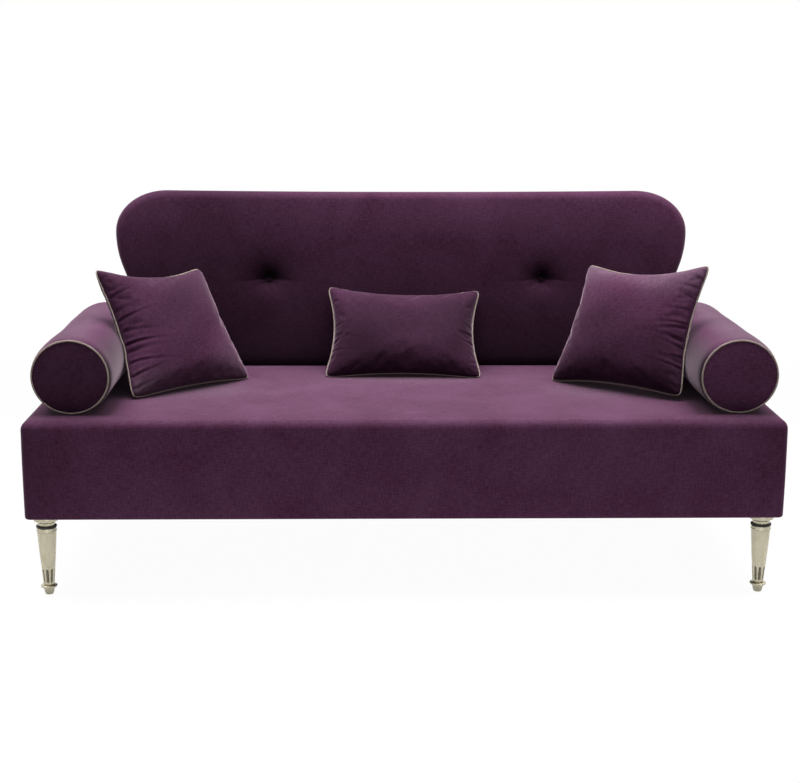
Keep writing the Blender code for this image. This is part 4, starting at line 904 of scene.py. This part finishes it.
def beside_bolsters(points, clearance):
    """Pushes points of a cushion that would lie in a bolster out to its oval side and a clearance further, which
    dents the cushion there. The push fades in over half a millimetre."""
    points = points.copy()
    for centre_x, centre_z, half_width, half_height in bolster_ovals:
        across = (points[:, 0] - centre_x) / (half_width + clearance)
        up = (points[:, 2] - centre_z) / (half_height + clearance)
        far = np.maximum(np.hypot(across, up), 0.3)
        grow = (1 + np.logaddexp((far - 1) / 0.005, 0) * 0.005) / far
        near = far < 1.05
        points[near, 0] = centre_x + ((points[:, 0] - centre_x) * grow)[near]
        points[near, 2] = centre_z + ((points[:, 2] - centre_z) * grow)[near]
    return points


def refined(piece):
    """Makes the case's mesh twice as fine with one smooth subdivision, so that narrow pleats can be cut in it."""
    finer = piece.modifiers.new("finer", "SUBSURF")
    finer.levels = finer.render_levels = 1
    coarse = piece.data
    piece.data = bpy.data.meshes.new_from_object(piece.evaluated_get(bpy.context.evaluated_depsgraph_get()))
    piece.modifiers.remove(finer)
    bpy.data.meshes.remove(coarse)
    piece.data.name = piece.name


def round_rim(grid):
    """The outer points of a grid, once round it."""
    return np.r_[grid[0, :-1], grid[:-1, -1], grid[-1, :0:-1], grid[:0:-1, 0]]


even = np.linspace(-1, 1, CUSHION_STEPS + 1)
span = 0.35 * np.sin(even * math.pi / 2) + 0.65 * even
u, v = np.meshgrid(span, span)
fill = np.clip((1 - u ** 2) * (1 - v ** 2), 0, 1) ** 0.44
for number, (side, row) in enumerate(CUSHIONS.items()):
    width, height, piping, seam = row["width"], row["height"], row["piping"], (row["twist"], row["curl"])
    x, z = case_line(u, v, width, height, row["pinch"])
    level = seam_level(u, v, *seam)
    panels = []
    for face in (-1, 1):
        y = face * row["thick"] / 2 * START_FILL * fill + level
        panels.append((stacked(x, y, z), stacked(x + face * 0.5, z)))
    case = sew(f"cushion_case_{side}", panels, velvet)
    rim_x, rim_z = round_rim(x), round_rim(z)
    seam_line = stacked(rim_x, seam_level(round_rim(u), round_rim(v), *seam), rim_z)
    gap = np.min(np.linalg.norm(places_of(case)[:, None] - seam_line[None, ::2], axis=2), axis=1)
    inflate(case, np.nonzero(gap < SEAM_REACH)[0].tolist(), pressure=3.5, spare=0.008, cap=0.014)
    spin = np.array(mathutils.Euler([math.radians(angle) for angle in row["angles"]], "YXZ").to_matrix())
    outward = stacked(rim_x, np.zeros_like(rim_x), rim_z)
    outward /= np.linalg.norm(outward, axis=1)[:, None]
    line = (seam_line + outward * (piping / 2 - PIPING_SINK)) @ spin.T
    lowest = SEAT_HEIGHT + REST
    middle_x, middle_y = row["place"]
    shift = np.array([middle_x, seat_low.y + middle_y, lowest + piping / 2 - line[:, 2].min()])
    stuffing = link(f"cushion_stuffing_{side}", case.data.copy())
    move_to(stuffing, beside_bolsters(places_of(case) * (0.93, 0.80, 0.93) @ spin.T + shift, STUFFING_CLEARANCE))
    stuffing.data.materials[0] = wadding
    refined(case)
    co = places_of(case)
    x, _, z = co.T
    rise = co[:, 1] - seam_level(x / (width / 2), z / (height / 2), *seam)
    dents = 0.0020 * waves(3.1 * x + number, 2.3 * z + 2 * number, 1.9 * x - 2.2 * z)
    sunk = pleats(x, z, row, number + 3) * np.where(rise < 0, 1, 0.12) + dents * np.clip(abs(rise) / 0.05, 0, 1)
    co[:, 1] -= np.sign(rise) * np.minimum(sunk, 0.6 * abs(rise))
    patch = 0.11 * np.sin(17 * x + 9 * z + 2.2 * number) * np.sin(13 * z - 8 * x + number)
    # Painted shade by height, with random patches, darkens the case, and below zero it is painted light
    paint_shade(case, np.interp(np.clip(z / height + 0.5, 0, 1), (0, 0.5, 1), row["shade_by_height"][::-1]) + patch)
    co = beside_bolsters(co @ spin.T + shift, CASE_CLEARANCE)
    co[:, 2] = np.maximum(co[:, 2], lowest)
    move_to(case, co)
    line = beside_bolsters(line + shift, CASE_CLEARANCE + piping / 2)
    cord = sew(f"cushion_cord_{side}", [cord_round(line, piping / 2, spin @ (0, 1, 0))], piping_cloth)
    for piece, node, slot in ((case, "cover", "plum_velvet"), (cord, "piping", "taupe_piping"),
                              (stuffing, "filling", "polyester_wadding")):
        stand_in(piece, f"cushion_{side}", f"cushion_{side}_{node}")

# ----------------------------------------------------------
# Studio. A pale floor runs into a white surround. A wide soft light hangs overhead, and a weaker one stands in
# front, so that faces which look up are the brightest.


def seen_share(tree):
    """One for a ray that shows a surface to the camera, and zero for one that only lights it."""
    path = put(tree, "LightPath")
    seen = reckon(tree, "MAXIMUM", path.outputs["Is Camera Ray"], path.outputs["Is Glossy Ray"])
    return reckon(tree, "MAXIMUM", seen, path.outputs["Is Transmission Ray"])


floor_mesh = bpy.data.meshes.new("studio_floor")
floor_mesh.from_pydata([(-30, -30, 0), (30, -30, 0), (30, 30, 0), (-30, 30, 0)], [], [(0, 1, 2, 3)])
floor = link("studio_floor", floor_mesh)
paper, tree, shader = begin("floor_paper", {"Base Color": linear("#E6E6E6"), "Roughness": 0.9})
place = put(tree, "TexCoord").outputs["Object"]
far = put(tree, "VectorMath", {0: place}, operation="LENGTH").outputs["Value"]
plain = put(tree, "MapRange", {"Value": far, "From Min": 1.2, "From Max": 3.5, "To Min": 0.97,
                               "To Max": 1.0}).outputs["Result"]
share = reckon(tree, "MULTIPLY", seen_share(tree), plain)
white = put(tree, "Emission", {"Color": linear("#FFFFFF"), "Strength": 1.0})
mixed = put(tree, "MixShader", {0: share, 1: shader.outputs[0], 2: white.outputs[0]})
tree.links.new(mixed.outputs[0], tree.nodes["Material Output"].inputs["Surface"])
floor_mesh.materials.append(paper)

world = bpy.data.worlds.new("surround")
scene.world = world
world.use_nodes = True
tree = world.node_tree
level = reckon(tree, "MULTIPLY_ADD", seen_share(tree), 0.87, 0.13)
tree.links.new(level, tree.nodes["Background"].inputs["Strength"])
tree.nodes["Background"].inputs["Color"].default_value = linear("#FFFFFF")


def soft_light(name, place, aim, wide, high, power, spread):
    """An oblong area light that faces a point, behind a grid that lets its light fan out by spread degrees."""
    lamp = bpy.data.lights.new(name, "AREA")
    lamp.shape = "RECTANGLE"
    lamp.size, lamp.size_y = wide, high
    lamp.energy = power
    lamp.spread = math.radians(spread)
    made = link(name, lamp)
    made.location = place
    x, y, z = (end - start for end, start in zip(aim, place))
    made.rotation_euler = (math.atan2(math.hypot(x, y), -z), 0, math.atan2(y, x) - math.pi / 2)


soft_light("overhead_light", (0.0, 0.14, 2.35), (0.0, 0.0, 0.45), 4.6, 1.8, 102, 86)
soft_light("front_light", (0.3, -4.4, 1.2), (0.0, 0.0, 0.5), 2.4, 2.4, 17, 180)

camera = link("camera", bpy.data.cameras.new("camera"))
camera.location = (-0.0922, -4.0426, 1.3085)
camera.rotation_euler = (math.radians(90 - 12.31), math.radians(-0.178), math.radians(-1.179))
camera.data.lens = 69.75
camera.data.sensor_width = 36
scene.camera = camera
scene.view_settings.view_transform = "Standard"
